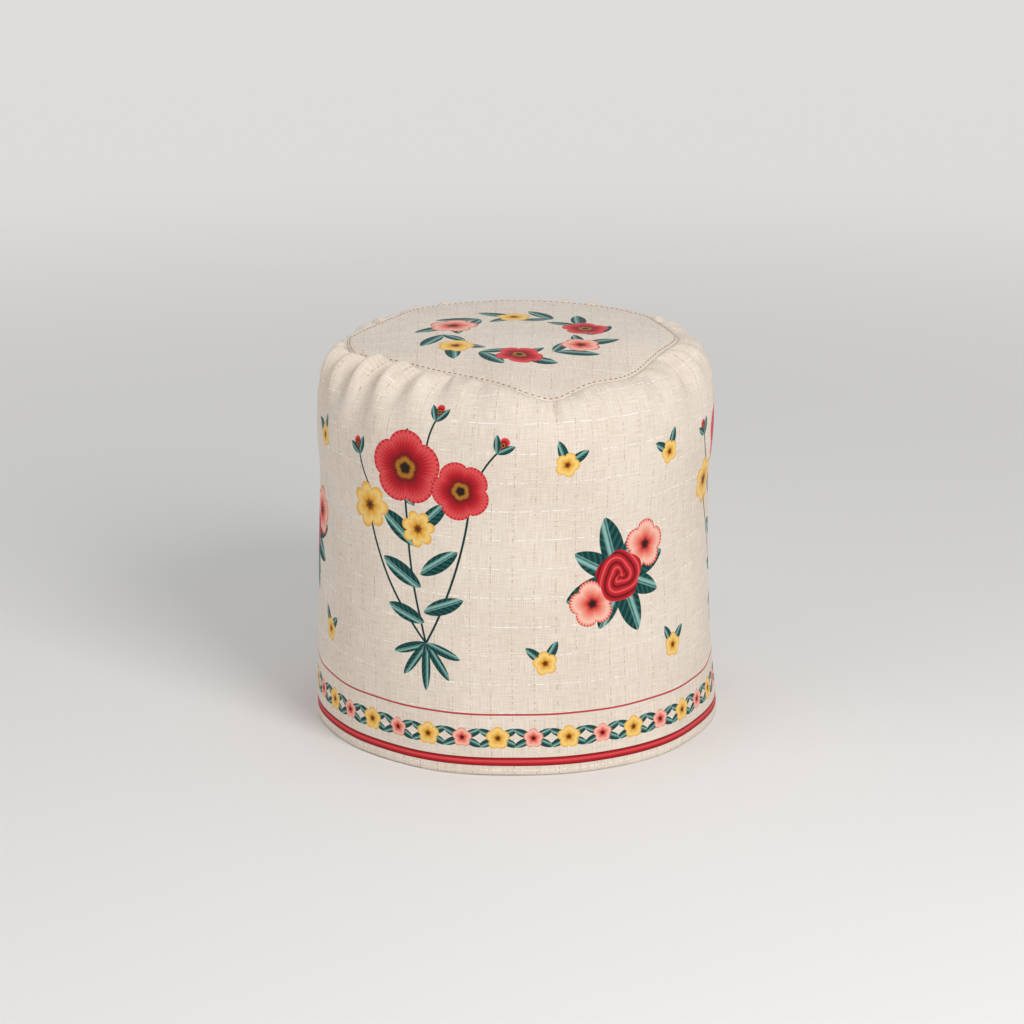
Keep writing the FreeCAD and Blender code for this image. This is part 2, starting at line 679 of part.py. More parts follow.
def make_keep_warm_band():
    inner = "barrel_outer + snug_gap"
    body = turned("band", [
        (inner, "barrel_floor + band_level"),
        (f"{inner} + band_thickness", "barrel_floor + band_level"),
        (f"{inner} + band_thickness", "barrel_floor + band_level + band_height"),
        (inner, "barrel_floor + band_level + band_height"),
    ])
    publish(body, "keep_warm_band")


# Temperature sensor in the middle of the plate


def make_sensor():
    tube = turned("sensor_tube_body", [
        ("tube_inner", "barrel_low - tube_drop"),
        ("tube_radius", "barrel_low - tube_drop"),
        ("tube_radius", "barrel_floor"),
        ("tube_flange", "barrel_floor"),
        ("tube_flange", "tube_seat"),
        ("tube_radius", "tube_seat"),
        ("tube_radius", "ferrite_low - ferrite_thickness"),
        ("tube_inner", "ferrite_low - ferrite_thickness"),
    ])
    publish(tube, "sensor_tube")
    cap = turned("cap", [
        ("0", "plate_top - cap_wall"),
        ("cap_radius - cap_wall", "plate_top - cap_wall"),
        ("cap_radius - cap_wall", "plate_top - cap_skirt"),
        ("cap_radius", "plate_top - cap_skirt"),
        ("cap_radius", "plate_top", "cap_wall"),
        ("0", "plate_top"),
    ])
    publish(cap, "sensor_cap")
    publish(rod("ferrite", "magnet_radius", "ferrite_thickness", z="ferrite_low"), "ferrite_disc")
    magnet = turned("magnet", [
        ("0", "lever_top + rod_gap"),
        ("rod_radius", "lever_top + rod_gap"),
        ("rod_radius", "magnet_top - magnet_length"),
        ("magnet_radius", "magnet_top - magnet_length"),
        ("magnet_radius", "magnet_top"),
        ("0", "magnet_top"),
    ])
    publish(magnet, "magnet_plunger")


def helix_wire(circle, low, high, turns):
    """A coil's centre line: each quarter turn is two arcs that meet in one tangent."""
    quarters = 4 * turns
    climb = (high - low) / quarters
    slope = climb / (circle * math.pi / 2)

    def point(q):
        turn = q * math.pi / 2
        return Vector(circle * math.cos(turn), circle * math.sin(turn), low + climb * q)

    def heading(q):
        turn = q * math.pi / 2
        return Vector(-math.sin(turn), math.cos(turn), slope).normalize()

    edges = []
    for q in range(quarters):
        start, finish = point(q), point(q + 1)
        out, back = heading(q), heading(q + 1)
        chord = finish - start
        along = out + back
        dot = 2 * (1 - out.dot(back))
        reach = (math.sqrt(chord.dot(along) ** 2 + dot * chord.dot(chord)) - chord.dot(along)) / dot
        meet = (start + out * reach + finish - back * reach) * 0.5
        edges.append(tangent_arc(start, out, meet))
        edges.append(tangent_arc(finish, back * -1, meet, backwards=True))
    return Part.Wire(edges)


def tangent_arc(start, heading, finish, backwards=False):
    """The arc that leaves a point along a heading and ends at another point."""
    chord = finish - start
    toward = (chord - heading * chord.dot(heading)).normalize()
    radius = chord.dot(chord) / (2 * chord.dot(toward))
    centre = start + toward * radius
    middle = centre + ((start - centre) + (finish - centre)).normalize() * radius
    ends = (finish, start) if backwards else (start, finish)
    return Part.Arc(ends[0], middle, ends[1]).toShape()


def tube_solid(path, radius):
    """A round tube along a wire."""
    edge = path.OrderedEdges[0]
    start = edge.valueAt(edge.FirstParameter)
    heading = edge.tangentAt(edge.FirstParameter)
    profile = Part.Wire(Part.Circle(start, heading, radius).toShape())
    return path.makePipeShell([profile], True, False)


def make_sensor_spring():
    wire = value("spring_wire")
    low = value("tube_seat") + wire
    high = value("plate_top - cap_wall") - wire
    coil = helix_wire(value("spring_circle"), low, high, int(value("spring_turns")))
    item = doc.addObject("Part::Feature", "spring")
    item.Shape = tube_solid(coil, wire)
    print(f"sensor spring: gap between turns {(high - low) / value('spring_turns') - 2 * wire:.2f} mm")
    publish(item, "sensor_spring")


# Cook switch


def make_switch():
    half = "lever_width / 2"
    front = "paddle_front - paddle_skin"
    strip_size = ("lever_width", f"{front} + lever_tail", "lever_thickness")
    strip_place = (f"-{half}", f"-({front})", "lever_level - lever_thickness / 2")
    strip = block("lever_strip", strip_size, *strip_place)
    boss = rod("lever_boss", "pivot_boss", "lever_width", f"-{half}", "-pivot_offset", "lever_level", "x")
    bore = rod("lever_bore", "pin_radius + pin_clearance", "lever_width", f"-{half}", "-pivot_offset",
               "lever_level", "x")
    publish(without("lever", fused("lever_blank", strip, boss), bore), "cook_lever")

    paddle = block("paddle_block", ("paddle_width", "paddle_reach", "paddle_height"), "-paddle_width / 2",
                   "-paddle_front", "lever_level - paddle_height / 2")
    smooth = rounded("paddle_smooth", paddle, "paddle_rounding")
    pocket = block("paddle_pocket", strip_size, *strip_place)
    publish(without("paddle", smooth, pocket), "lever_paddle")

    back = "-pivot_offset - bracket_length / 2"
    top = block("bracket_top", ("2 * bracket_half", "bracket_length", "bracket_wall"), "-bracket_half", back,
                "barrel_low - bracket_wall")
    ears, holes = [], []
    drop = "lever_drop + pivot_boss"
    for side in (-1, 1):
        x = "-bracket_half" if side < 0 else "bracket_half - bracket_wall"
        ears.append(block(f"bracket_ear{side + 1}", ("bracket_wall", "bracket_length", drop), x, back,
                          f"barrel_low - ({drop})"))
    holes.append(rod("bracket_hole", "pin_radius", "2 * bracket_half", "-bracket_half", "-pivot_offset",
                     "lever_level", "x"))
    publish(without("bracket", fused("bracket_blank", top, *ears), *holes), "lever_bracket")
    length = "2 * bracket_half + 2 * bracket_wall"
    start = "-bracket_half - bracket_wall"
    publish(rod("pin", "pin_radius", length, start, "-pivot_offset", "lever_level", "x"), "lever_pin")

    low = "switch_top - switch_height"
    case = block("switch_case", ("switch_length", "switch_width", "switch_height"), "-switch_length / 2",
                 "switch_y - switch_width / 2", low)
    button = rod("switch_button", "pin_radius", "switch_gap / 2", y="switch_y", z="switch_top")
    tabs = []
    for side in (-1, 1):
        x = "-switch_length / 2 - switch_tab" if side < 0 else "switch_length / 2"
        tabs.append(block(f"switch_tab{side + 1}", ("switch_tab", "contact_height", "contact_width"), x,
                          "switch_y - contact_height / 2", f"{low} + switch_height / 2"))
    publish(fused("switch", case, button, *tabs), "contact_switch")


# Control panel with its lamps


def make_panel():
    body = turned("panel", [
        ("drum_clear", "tray_top"),
        ("panel_outer", "tray_top", "panel_rounding"),
        ("panel_outer", "panel_high", "panel_rounding"),
        ("drum_clear", "panel_high"),
    ], "panel_angle", -90)
    width = "lever_width + 2 * slot_side_gap"
    slot = block("panel_slot", (width, "panel_thickness * 3", "slot_high - slot_low"), f"-({width}) / 2",
                 "-panel_outer - panel_thickness", "slot_low")
    holes = []
    for i, side in enumerate((-1, 1)):
        x = f"{side} * lamp_spread"
        front = "-panel_outer - lens_proud"
        holes.append(rod(f"panel_lamp_hole{i}", "lens_radius + fit_gap", "panel_thickness * 3", x,
                         "-panel_outer - panel_thickness", "lamp_z", "y"))
        flange = rod(f"lens_flange{i}", "lens_flange", "lens_proud", x, front, "lamp_z", "y")
        length = "panel_outer + lens_proud - drum_inner + drum_wall"
        stem = rod(f"lens_stem{i}", "lens_radius", length, x, front, "lamp_z", "y")
        publish(fused(f"lens{i}", flange, stem), ("cook_lens", "warm_lens")[i])
    lamps = []
    for i, side in enumerate((-1, 1)):
        lamps.append(rod(f"lamp{i}", "lamp_radius", "lamp_length", f"{side} * lamp_spread",
                         "-drum_inner + drum_wall", "lamp_z", "y"))
    publish(without("panel_moulding", body, slot, *holes), "control_panel")
    publish(group("lamps", lamps), "indicator_lamps")


# Power inlet at the rear


def contact_places():
    """Across and height of the inlet's three flat contacts."""
    return [("-contact_pitch", "0"), ("0", "-contact_step"), ("contact_pitch", "0")]


def make_inlet():
    low = "inlet_level - inlet_height / 2"
    case = block("inlet_case", ("inlet_width", "inlet_depth", "inlet_height"), "-inlet_width / 2",
                 "inlet_inside", low)
    wide = "inlet_width + 2 * inlet_flange"
    high = "inlet_height + 2 * inlet_wall"
    flange = block("inlet_plate", (wide, "inlet_flange_thickness", high), f"-({wide}) / 2", "drum_clear",
                   f"{low} - inlet_wall")
    smooth = rounded("inlet_smooth", flange, "inlet_wall", runs_along_y)
    size = ("inlet_width - 2 * inlet_wall", "inlet_depth", "inlet_height - 2 * inlet_wall")
    socket = block("inlet_socket", size, "-inlet_width / 2 + inlet_wall", "socket_floor",
                   f"{low} + inlet_wall")
    contacts, slots, screws, holes = [], [], [], []
    length = "contact_tail + inlet_back + contact_proud"
    for i, (x, z) in enumerate(contact_places()):
        corner = (f"{x} - contact_width / 2", "contact_inner", f"inlet_level + {z} - contact_height / 2")
        size = ("contact_width", length, "contact_height")
        contacts.append(block(f"contact{i}", size, *corner))
        slots.append(block(f"contact_slot{i}", size, *corner))
    face = "drum_clear + inlet_flange_thickness"
    for side in (-1, 1):
        x = f"{side} * (inlet_width + inlet_flange) / 2"
        length = "inlet_flange_thickness + fit_gap + drum_wall + screw_grip"
        holes.append(rod(f"inlet_hole{side + 1}", "hole_radius", "inlet_flange_thickness", x, "drum_clear",
                         "inlet_level", "y"))
        shank = rod(f"inlet_screw_shank{side + 1}", "screw_radius", length, x, f"{face} - ({length})",
                    "inlet_level", "y")
        head = rod(f"inlet_screw_head{side + 1}", "screw_head_radius", "screw_head_height", x, face,
                   "inlet_level", "y")
        screws.append(fused(f"inlet_screw{side + 1}", shank, head))
    publish(without("inlet", fused("inlet_blank", case, smooth), socket, *slots, *holes), "power_inlet")
    publish(group("contacts", contacts), "inlet_contacts")
    publish(group("inlet_screws", screws), "inlet_screws")


# Leads inside the base


def lead_path(points):
    """Straight runs joined by tangent arcs, each as large as its runs allow."""
    runs = [(b - a).Length for a, b in zip(points, points[1:])]
    edges, at = [], points[0]
    for i in range(1, len(points) - 1):
        before = (points[i] - points[i - 1]).normalize()
        after = (points[i + 1] - points[i]).normalize()
        reach = 0.45 * min(runs[i - 1], runs[i])
        start, finish = points[i] - before * reach, points[i] + after * reach
        edges.append(Part.LineSegment(at, start).toShape())
        edges.append(tangent_arc(start, before, finish))
        at = finish
    edges.append(Part.LineSegment(at, points[-1]).toShape())
    return Part.Wire(edges)


def lead(name, stops):
    """An insulated lead through points that are given as expressions."""
    path = lead_path([Vector(*[value(text) for text in stop]) for stop in stops])
    radius = value("wire_radius")
    solid = tube_solid(path, radius)
    print(f"{name}: {path.Length:.0f} mm, volume over section times length "
          f"{solid.Volume / (math.pi * radius ** 2 * path.Length):.4f}")
    item = doc.addObject("Part::Feature", name)
    item.Shape = solid
    return item


def make_leads():
    tail = "contact_inner"
    out = "contact_inner - 4 * wire_radius"
    switch_out = "switch_length / 2 + switch_tab"
    switch_level = "switch_top - switch_height / 2 + contact_width / 2"
    run_level = "inlet_level - lead_drop"
    neutral = lead("neutral_tube", [
        ("-contact_pitch", tail, "inlet_level"),
        ("-contact_pitch", out, "inlet_level"),
        ("-terminal_x", "terminal_y + 8 * wire_radius", "terminal_low - 8 * wire_radius"),
        ("-terminal_x", "terminal_y", "terminal_low - 7 * wire_radius"),
        ("-terminal_x", "terminal_y", "terminal_low"),
    ])
    live_to_fuse = lead("live_tube_rear", [
        ("contact_pitch", tail, "inlet_level"),
        ("contact_pitch", out, "inlet_level"),
        ("lead_side", f"{out} - 6 * wire_radius", run_level),
        ("lead_side", "fuse_offset + fuse_length", run_level),
    ])
    live_to_switch = lead("live_tube_front", [
        ("lead_side", "fuse_offset", run_level),
        ("lead_side", "-pivot_offset / 2", run_level),
        (f"{switch_out} + 7 * wire_radius", "switch_y", switch_level),
        (switch_out, "switch_y", switch_level),
    ])
    switched = lead("switched_tube", [
        (f"-({switch_out})", "switch_y", switch_level),
        (f"-({switch_out}) - 7 * wire_radius", "switch_y", switch_level),
        ("-lead_side", "-pivot_offset / 2", "switch_top - 3 * wire_radius"),
        ("-lead_side", "terminal_y / 2 - 8 * wire_radius", "switch_top - 6 * wire_radius"),
        ("0", "terminal_y - 6 * wire_radius", "terminal_low - 12 * wire_radius"),
        ("terminal_x", "terminal_y", "terminal_low - 9 * wire_radius"),
        ("terminal_x", "terminal_y", "terminal_low"),
    ])
    fuse = rod("fuse", "fuse_radius", "fuse_length", "lead_side", "fuse_offset", run_level, "y")
    publish(neutral, "neutral_lead")
    publish(group("live_tubes", [live_to_fuse, live_to_switch]), "live_lead")
    publish(switched, "switched_lead")
    publish(fuse, "thermal_fuse")


# Handles


def make_handles():
    pad = "drum_clear + handle_pad"
    low = "handle_high - handle_thickness - handle_drop"
    shelf = "handle_high - handle_thickness"
    screws = []
    for label, facing in (("right_handle", 0), ("left_handle", 180)):
        body = turned(label + "_body", [
            ("drum_clear", low),
            (pad, low),
            (pad, shelf, "handle_rounding"),
            ("handle_edge - handle_lip", shelf, "handle_rounding"),
            ("handle_edge - handle_lip", low),
            ("handle_edge", low, "handle_rounding"),
            ("handle_edge", "handle_high", "handle_rounding"),
            ("drum_clear", "handle_high"),
        ], "handle_angle", facing)
        holes = []
        side = 1 if facing == 0 else -1
        for across in (-1, 1):
            y = f"{across} * handle_screw_spread"
            wall = "sqrt(drum_inner ^ 2 - (handle_screw_spread + screw_head_radius) ^ 2)"
            start = f"{wall} - screw_head_height"
            length = "screw_head_height + drum_bend + drum_wall + screw_grip"
            x_hole = wall if side > 0 else f"-({wall}) - ({length})"
            x_head = start if side > 0 else f"-({wall})"
            x_shank = start if side > 0 else f"-({start}) - ({length})"
            name = f"{label}{across + 1}"
            holes.append(rod(name + "_hole", "hole_radius", length, x_hole, y, "handle_screw_z", "x"))
            head = rod(name + "_head", "screw_head_radius", "screw_head_height", x_head, y,
                       "handle_screw_z", "x")
            shank = rod(name + "_shank", "screw_radius", length, x_shank, y, "handle_screw_z", "x")
            screws.append(fused(f"{label}_screw{across + 1}", head, shank))
        publish(without(label + "_drilled", body, *holes), label)
    publish(group("handle_screw_set", screws), "handle_screws")


# Lid


def make_lid():
    band = turned("lid_band_body", [
        ("lid_lip - lid_band", "lid_seat - lid_lip_depth"),
        ("lid_lip", "lid_seat - lid_lip_depth"),
        ("lid_lip", "lid_seat"),
        ("lid_radius", "lid_seat"),
        ("lid_radius", "band_top", "lid_band"),
        ("lid_radius - lid_band - lid_band_cover", "band_top"),
        ("lid_radius - lid_band - lid_band_cover", "band_top - lid_band"),
        ("lid_radius - lid_band", "band_top - lid_band"),
        ("lid_radius - lid_band", "lid_seat + lid_band"),
        ("lid_lip - lid_band", "lid_seat + lid_band"),
    ])
    publish(band, "lid_rim")
    glass = turned("glass", [
        ("hole_radius", "crown_low"),
        ("dome_flat", "crown_low", "dome_rounding"),
        ("dome_foot", "glass_low", "dome_foot_rounding + glass_thickness"),
        ("glass_edge", "glass_low"),
        ("glass_edge", "glass_high"),
        ("dome_foot + dome_shift", "glass_high", "dome_foot_rounding"),
        ("dome_flat + dome_shift", "crown_high", "dome_rounding + glass_thickness"),
        ("hole_radius", "crown_high"),
    ])
    vent_hole = rod("glass_vent_hole", "vent_sleeve + fit_gap / 2", "glass_thickness * 3", "vent_offset",
                    z="crown_low - glass_thickness")
    publish(without("glass_drilled", glass, vent_hole), "lid_glass")
    eyelet = turned("eyelet", [
        ("vent_bore", "crown_low - vent_rim_thickness"),
        ("vent_rim", "crown_low - vent_rim_thickness"),
        ("vent_rim", "crown_low"),
        ("vent_sleeve", "crown_low"),
        ("vent_sleeve", "crown_high"),
        ("vent_rim", "crown_high"),
        ("vent_rim", "crown_high + vent_rim_thickness"),
        ("vent_bore", "crown_high + vent_rim_thickness"),
    ])
    bind(eyelet, "Placement.Base.x", "vent_offset")
    publish(eyelet, "vent_eyelet")
    collar = turned("collar", [
        ("hole_radius", "crown_high"),
        ("collar_radius", "crown_high"),
        ("collar_radius", "knob_low", "collar_height / 2"),
        ("hole_radius", "knob_low"),
    ])
    publish(collar, "knob_collar")
    knob = turned("knob", [
        ("hole_radius", "knob_low"),
        ("knob_neck", "knob_low"),
        ("knob_neck", "knob_low + knob_neck_height", "knob_rounding"),
        ("knob_radius", "knob_low + knob_neck_height + knob_flare", "knob_rounding"),
        ("knob_radius", "knob_top", "knob_rounding"),
        ("0", "knob_top"),
        ("0", "knob_low + knob_screw_grip + seat_gap"),
        ("hole_radius", "knob_low + knob_screw_grip + seat_gap"),
    ])
    publish(knob, "lid_knob")
    screw = turned("knob_screw_body", [
        ("0", "crown_low - washer_height"),
        ("washer_radius", "crown_low - washer_height"),
        ("washer_radius", "crown_low"),
        ("screw_radius", "crown_low"),
        ("screw_radius", "knob_low + knob_screw_grip"),
        ("0", "knob_low + knob_screw_grip"),
    ])
    publish(screw, "knob_screw")


# Cloth cover


def fold_ring(level, radius, depth):
    """One level of the cover's wall: arcs that swing out and in, deeper at the front and the rear."""
    count = 2 * int(value("pucker_count"))
    step = 2 * math.pi / count

    def at(turn, swing):
        reach = radius + swing * depth * (0.75 + 0.25 * math.cos(2 * turn))
        return Vector(reach * math.sin(turn), -reach * math.cos(turn), level)

    edges = []
    for k in range(count):
        swing = 1 if k % 2 else -1
        start, middle, finish = at(k * step, 0), at((k + 0.5) * step, swing), at((k + 1) * step, 0)
        edges.append(Part.Arc(start, middle, finish).toShape())
    return Part.Wire(edges)


def cover_rings(inset):
    """The wall's levels from hem to top seam, drawn in by an inset: height, radius, depth of folds."""
    waist, hem = value("waist_radius") - inset, value("hem_radius") - inset
    shoulder, seam = value("shoulder_radius") - inset, value("seam_radius")
    top, rise = value("seam_level") - inset, value("shoulder_height") - inset
    deep, wave = value("pucker_depth"), value("hem_wave")
    widest = value("seam_level - cover_shoulder")
    flare = hem - waist
    rings = [
        (0, hem, wave),
        (widest * 0.25, waist + flare * 0.6, wave),
        (widest * 0.52, waist + flare * 0.2, wave / 2),
        (widest * 0.8, waist, wave / 2),
        (widest, shoulder, wave),
    ]
    for turn, depth in ((25, deep), (55, deep), (78, deep / 2), (90, 0)):
        across, up = math.cos(math.radians(turn)), math.sin(math.radians(turn))
        rings.append((top - rise * (1 - up), seam + (shoulder - seam) * across, depth))
    return rings


def make_cover():
    cloth, seam_level = value("cloth"), value("seam_level")
    outside, inside = [cover_rings(inset) for inset in (0, cloth)]
    solids = [Part.makeLoft([fold_ring(*ring) for ring in rings], True, False) for rings in (outside, inside)]
    mouth_low = Vector(0, 0, seam_level - 1.5 * cloth)
    mouth = Part.makeCylinder(value("seam_radius - seam_lip"), 2 * cloth, mouth_low)
    item = doc.addObject("Part::Feature", "cover_wall")
    item.Shape = solids[0].cut([solids[1], mouth])
    publish(item, "cover_side_panel")
    top = turned("cover_top", [
        ("0", "seam_level + cover_crown"),
        ("crown_flat", "seam_level + cover_crown"),
        ("seam_radius - seam_lip", "seam_level"),
        ("seam_radius", "seam_level"),
        ("seam_radius", "seam_level + cloth"),
        ("seam_radius - seam_lip", "seam_level + cloth"),
        ("crown_flat", "seam_level + cover_crown + cloth"),
        ("0", "seam_level + cover_crown + cloth"),
    ])
    publish(top, "cover_top_panel")


def make_all():
    make_feet()
    make_tray()
    make_drum()
    make_rim()
    make_barrel()
    make_pot()
    make_heater()
    make_keep_warm_band()
    make_sensor()
    make_sensor_spring()
    make_switch()
    make_panel()
    make_inlet()
    make_leads()
    make_handles()
    make_lid()
    make_cover()
    doc.recompute()


def check_all():
    """Stops the build if any object failed or any piece is empty or invalid."""
    for item in doc.Objects:
        if "Invalid" in item.State or "Error" in item.State:
            raise RuntimeError(f"{item.Label} failed: {item.State}")
    for item in pieces:
        shape = item.Shape
        if shape.isNull() or not shape.isValid() or not shape.Solids:
            raise RuntimeError(f"{item.Label} has no valid solid")


def write_all():
    os.makedirs("parts", exist_ok=True)
    for item in pieces:
        item.Shape.exportStep(os.path.join("parts", item.Label + ".step"))
        box = item.Shape.BoundBox
        print(f"{item.Label:18s} {len(item.Shape.Solids)} solids, {item.Shape.Volume:10.0f} mm3, "
              f"z {box.ZMin:6.1f} to {box.ZMax:6.1f}")


make_all()
check_all()
write_all()
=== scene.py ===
"""Looks for the covered rice cooker: the cloth cover with its print, seam and hem, and the cooker's finishes.

Units are metres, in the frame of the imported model: +Z up, the front towards -Y.
"""

import math

import bpy
import numpy as np
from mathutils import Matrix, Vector


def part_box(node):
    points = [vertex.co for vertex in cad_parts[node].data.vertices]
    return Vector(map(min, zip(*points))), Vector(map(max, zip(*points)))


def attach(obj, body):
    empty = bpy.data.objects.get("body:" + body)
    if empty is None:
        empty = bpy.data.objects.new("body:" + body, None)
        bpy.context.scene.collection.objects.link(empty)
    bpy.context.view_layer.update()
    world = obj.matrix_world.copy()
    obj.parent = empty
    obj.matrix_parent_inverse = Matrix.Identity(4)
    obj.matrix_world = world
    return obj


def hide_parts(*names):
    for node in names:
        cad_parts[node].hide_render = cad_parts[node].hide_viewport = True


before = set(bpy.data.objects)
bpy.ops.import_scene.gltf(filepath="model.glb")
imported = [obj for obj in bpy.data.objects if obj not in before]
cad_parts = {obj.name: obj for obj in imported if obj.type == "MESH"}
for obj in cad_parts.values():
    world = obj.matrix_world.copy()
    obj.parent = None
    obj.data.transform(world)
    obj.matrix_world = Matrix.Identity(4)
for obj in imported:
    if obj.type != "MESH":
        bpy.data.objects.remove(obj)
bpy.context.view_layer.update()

# Sizes of the cover, from the frame

SIDE_LOW, SIDE_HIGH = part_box("cover_side_panel")
TOP_LOW, TOP_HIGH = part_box("cover_top_panel")
MM = 0.001
HEM_RADIUS = (SIDE_HIGH.x - SIDE_LOW.x) / 2 - 0.3 * MM
SEAM_RADIUS = (TOP_HIGH.x - TOP_LOW.x) / 2
SEAM_LEVEL = TOP_LOW.z
WAIST_RADIUS = HEM_RADIUS - 6 * MM
SHOULDER_RADIUS = WAIST_RADIUS + 3 * MM
WAIST_LEVEL = 0.64 * SEAM_LEVEL
WIDEST_LEVEL = 0.80 * SEAM_LEVEL
CLOTH = 1.4 * MM
HEM_TURNING = 16 * MM
DIP_WIDTH = 2.4 * MM
GIRTH = 2 * math.pi * SHOULDER_RADIUS

# The print repeats round the cover; the border ends at a height, and the sprays end beside the clusters
PERIOD = GIRTH / 3
BORDER_TOP = 62 * MM
SPRAY_EDGE = 4 * MM


# Node trees


class Tree:
    """A material whose nodes are added by short calls; an input takes a value or another node's output."""

    def __init__(self, name, **settings):
        self.material = bpy.data.materials.new(name)
        self.material.use_nodes = True
        self.nodes = self.material.node_tree.nodes
        self.links = self.material.node_tree.links
        self.nodes.clear()
        self.shader = self.nodes.new("ShaderNodeBsdfPrincipled")
        output = self.nodes.new("ShaderNodeOutputMaterial")
        self.links.new(self.shader.outputs["BSDF"], output.inputs["Surface"])
        self.finish(**settings)

    def finish(self, **settings):
        """Sets or links the shader's inputs, with underscores for spaces in their names."""
        for name, value in settings.items():
            self.put(self.shader.inputs[name.replace("_", " ")], value)

    def put(self, socket, value):
        """Links a signal to an input, or sets it to a plain value."""
        if isinstance(value, Signal):
            self.links.new(value.socket, socket)
        else:
            socket.default_value = value

    def node(self, kind, inputs=(), out=0, **settings):
        """Adds a node, fills its inputs by index or name, and gives one of its outputs."""
        made = self.nodes.new(kind)
        for name, value in settings.items():
            setattr(made, name, value)
        for key, value in dict(inputs).items():
            self.put(made.inputs[key], value)
        return Signal(self, made.outputs[out])

    def math(self, operation, *values):
        return self.node("ShaderNodeMath", enumerate(values), operation=operation)

    def coordinates(self, output):
        return self.node("ShaderNodeTexCoord", out=output)

    def noise(self, place, scale, detail):
        return self.node("ShaderNodeTexNoise", {"Vector": place, "Scale": scale, "Detail": detail})

    def step(self, value, low, high, first=0.0, last=1.0):
        """One number below low, another above high, smooth between."""
        inputs = {"Value": value, "From Min": low, "From Max": high, "To Min": first, "To Max": last}
        return self.node("ShaderNodeMapRange", inputs, interpolation_type="SMOOTHSTEP")

    def sum(self, value, factor, plus):
        """A value times a factor, plus another."""
        return self.math("MULTIPLY_ADD", value, factor, plus)

    def mix(self, share, first, second):
        """One colour where the share is 0, another where it is 1."""
        inputs = {0: share, 6: first, 7: second}
        return self.node("ShaderNodeMix", inputs, out=2, data_type="RGBA")

    def ramp(self, value, stops):
        """A colour scale: stops are (place, colour)."""
        made = self.nodes.new("ShaderNodeValToRGB")
        elements = made.color_ramp.elements
        while len(elements) < len(stops):
            elements.new(1.0)
        for element, (place, colour) in zip(elements, stops):
            element.position = place
            element.color = colour
        self.put(made.inputs[0], value)
        return Signal(self, made.outputs[0])

    def local(self, place, x, y, turn, length, width):
        """Coordinates that start at a point, turned, and scaled by a length and a width."""
        inputs = {"Vector": place, "Location": (x, y, 0), "Rotation": (0, 0, turn),
                  "Scale": (length, width, 1)}
        return self.node("ShaderNodeMapping", inputs, vector_type="TEXTURE")

    def split(self, place):
        """The first two coordinates of a place."""
        made = self.nodes.new("ShaderNodeSeparateXYZ")
        self.put(made.inputs[0], place)
        return Signal(self, made.outputs[0]), Signal(self, made.outputs[1])

    def join(self, x, y):
        return self.node("ShaderNodeCombineXYZ", {0: x, 1: y})

    def stretched_noise(self, across, up, detail):
        """Noise of plain coordinates, each at a scale of its own."""
        return self.noise(self.join(across, up), 1.0, detail)

    def length(self, place):
        return self.node("ShaderNodeVectorMath", {0: place}, out="Value", operation="LENGTH")

    def seen(self):
        """1 for what the camera, gloss or glass looks at, 0 for other rays."""
        path = self.nodes.new("ShaderNodeLightPath")
        camera, gloss, glass = (Signal(self, path.outputs[f"Is {ray} Ray"])
                                for ray in ("Camera", "Glossy", "Transmission"))
        return self.math("MAXIMUM", self.math("MAXIMUM", camera, gloss), glass)

    def bump(self, height, distance, strength):
        inputs = {"Height": height, "Distance": distance, "Strength": strength}
        return self.node("ShaderNodeBump", inputs)


class Signal:
    """A node's output; arithmetic on it adds the nodes that work it out."""

    def __init__(self, tree, socket):
        self.tree = tree
        self.socket = socket

    def __add__(self, other):
        return self.tree.math("ADD", self, other)

    def __sub__(self, other):
        return self.tree.math("SUBTRACT", self, other)

    def __mul__(self, other):
        return self.tree.math("MULTIPLY", self, other)

    def __truediv__(self, other):
        return self.tree.math("DIVIDE", self, other)

    def __pow__(self, other):
        return self.tree.math("POWER", self, other)

    def __abs__(self):
        return self.tree.math("ABSOLUTE", self)

    def __rsub__(self, other):
        return self.tree.math("SUBTRACT", other, self)

    __radd__ = __add__

    def sine(self):
        return self.tree.math("SINE", self)

    def cosine(self):
        return self.tree.math("COSINE", self)


def colour(red, green, blue):
    """A colour as it is seen on a screen, 0 to 255, in the renderer's own linear numbers."""

    def linear(part):
        share = part / 255
        return share / 12.92 if share <= 0.04045 else ((share + 0.055) / 1.055) ** 2.4

    return (linear(red), linear(green), linear(blue), 1.0)


# Cloth: weave, slub yarns and print

CREAM = colour(238, 225, 210)
CREAM_SHADE = colour(217, 201, 184)
SLUB_WHITE = colour(253, 250, 245)
YARN_BROWN = colour(168, 139, 112)
TEAL_DARK = colour(10, 52, 52)
TEAL = colour(22, 92, 86)
TEAL_LIGHT = colour(150, 200, 190)
RED = colour(186, 24, 36)
RED_DARK = colour(96, 8, 18)
RED_LIGHT = colour(226, 84, 84)
CORAL = colour(232, 118, 98)
CORAL_PALE = colour(248, 196, 178)
GOLD = colour(226, 158, 46)
GOLD_PALE = colour(246, 212, 128)
GOLD_DARK = colour(132, 74, 16)
EYE = colour(40, 18, 16)

EDGE = 0.35 * MM


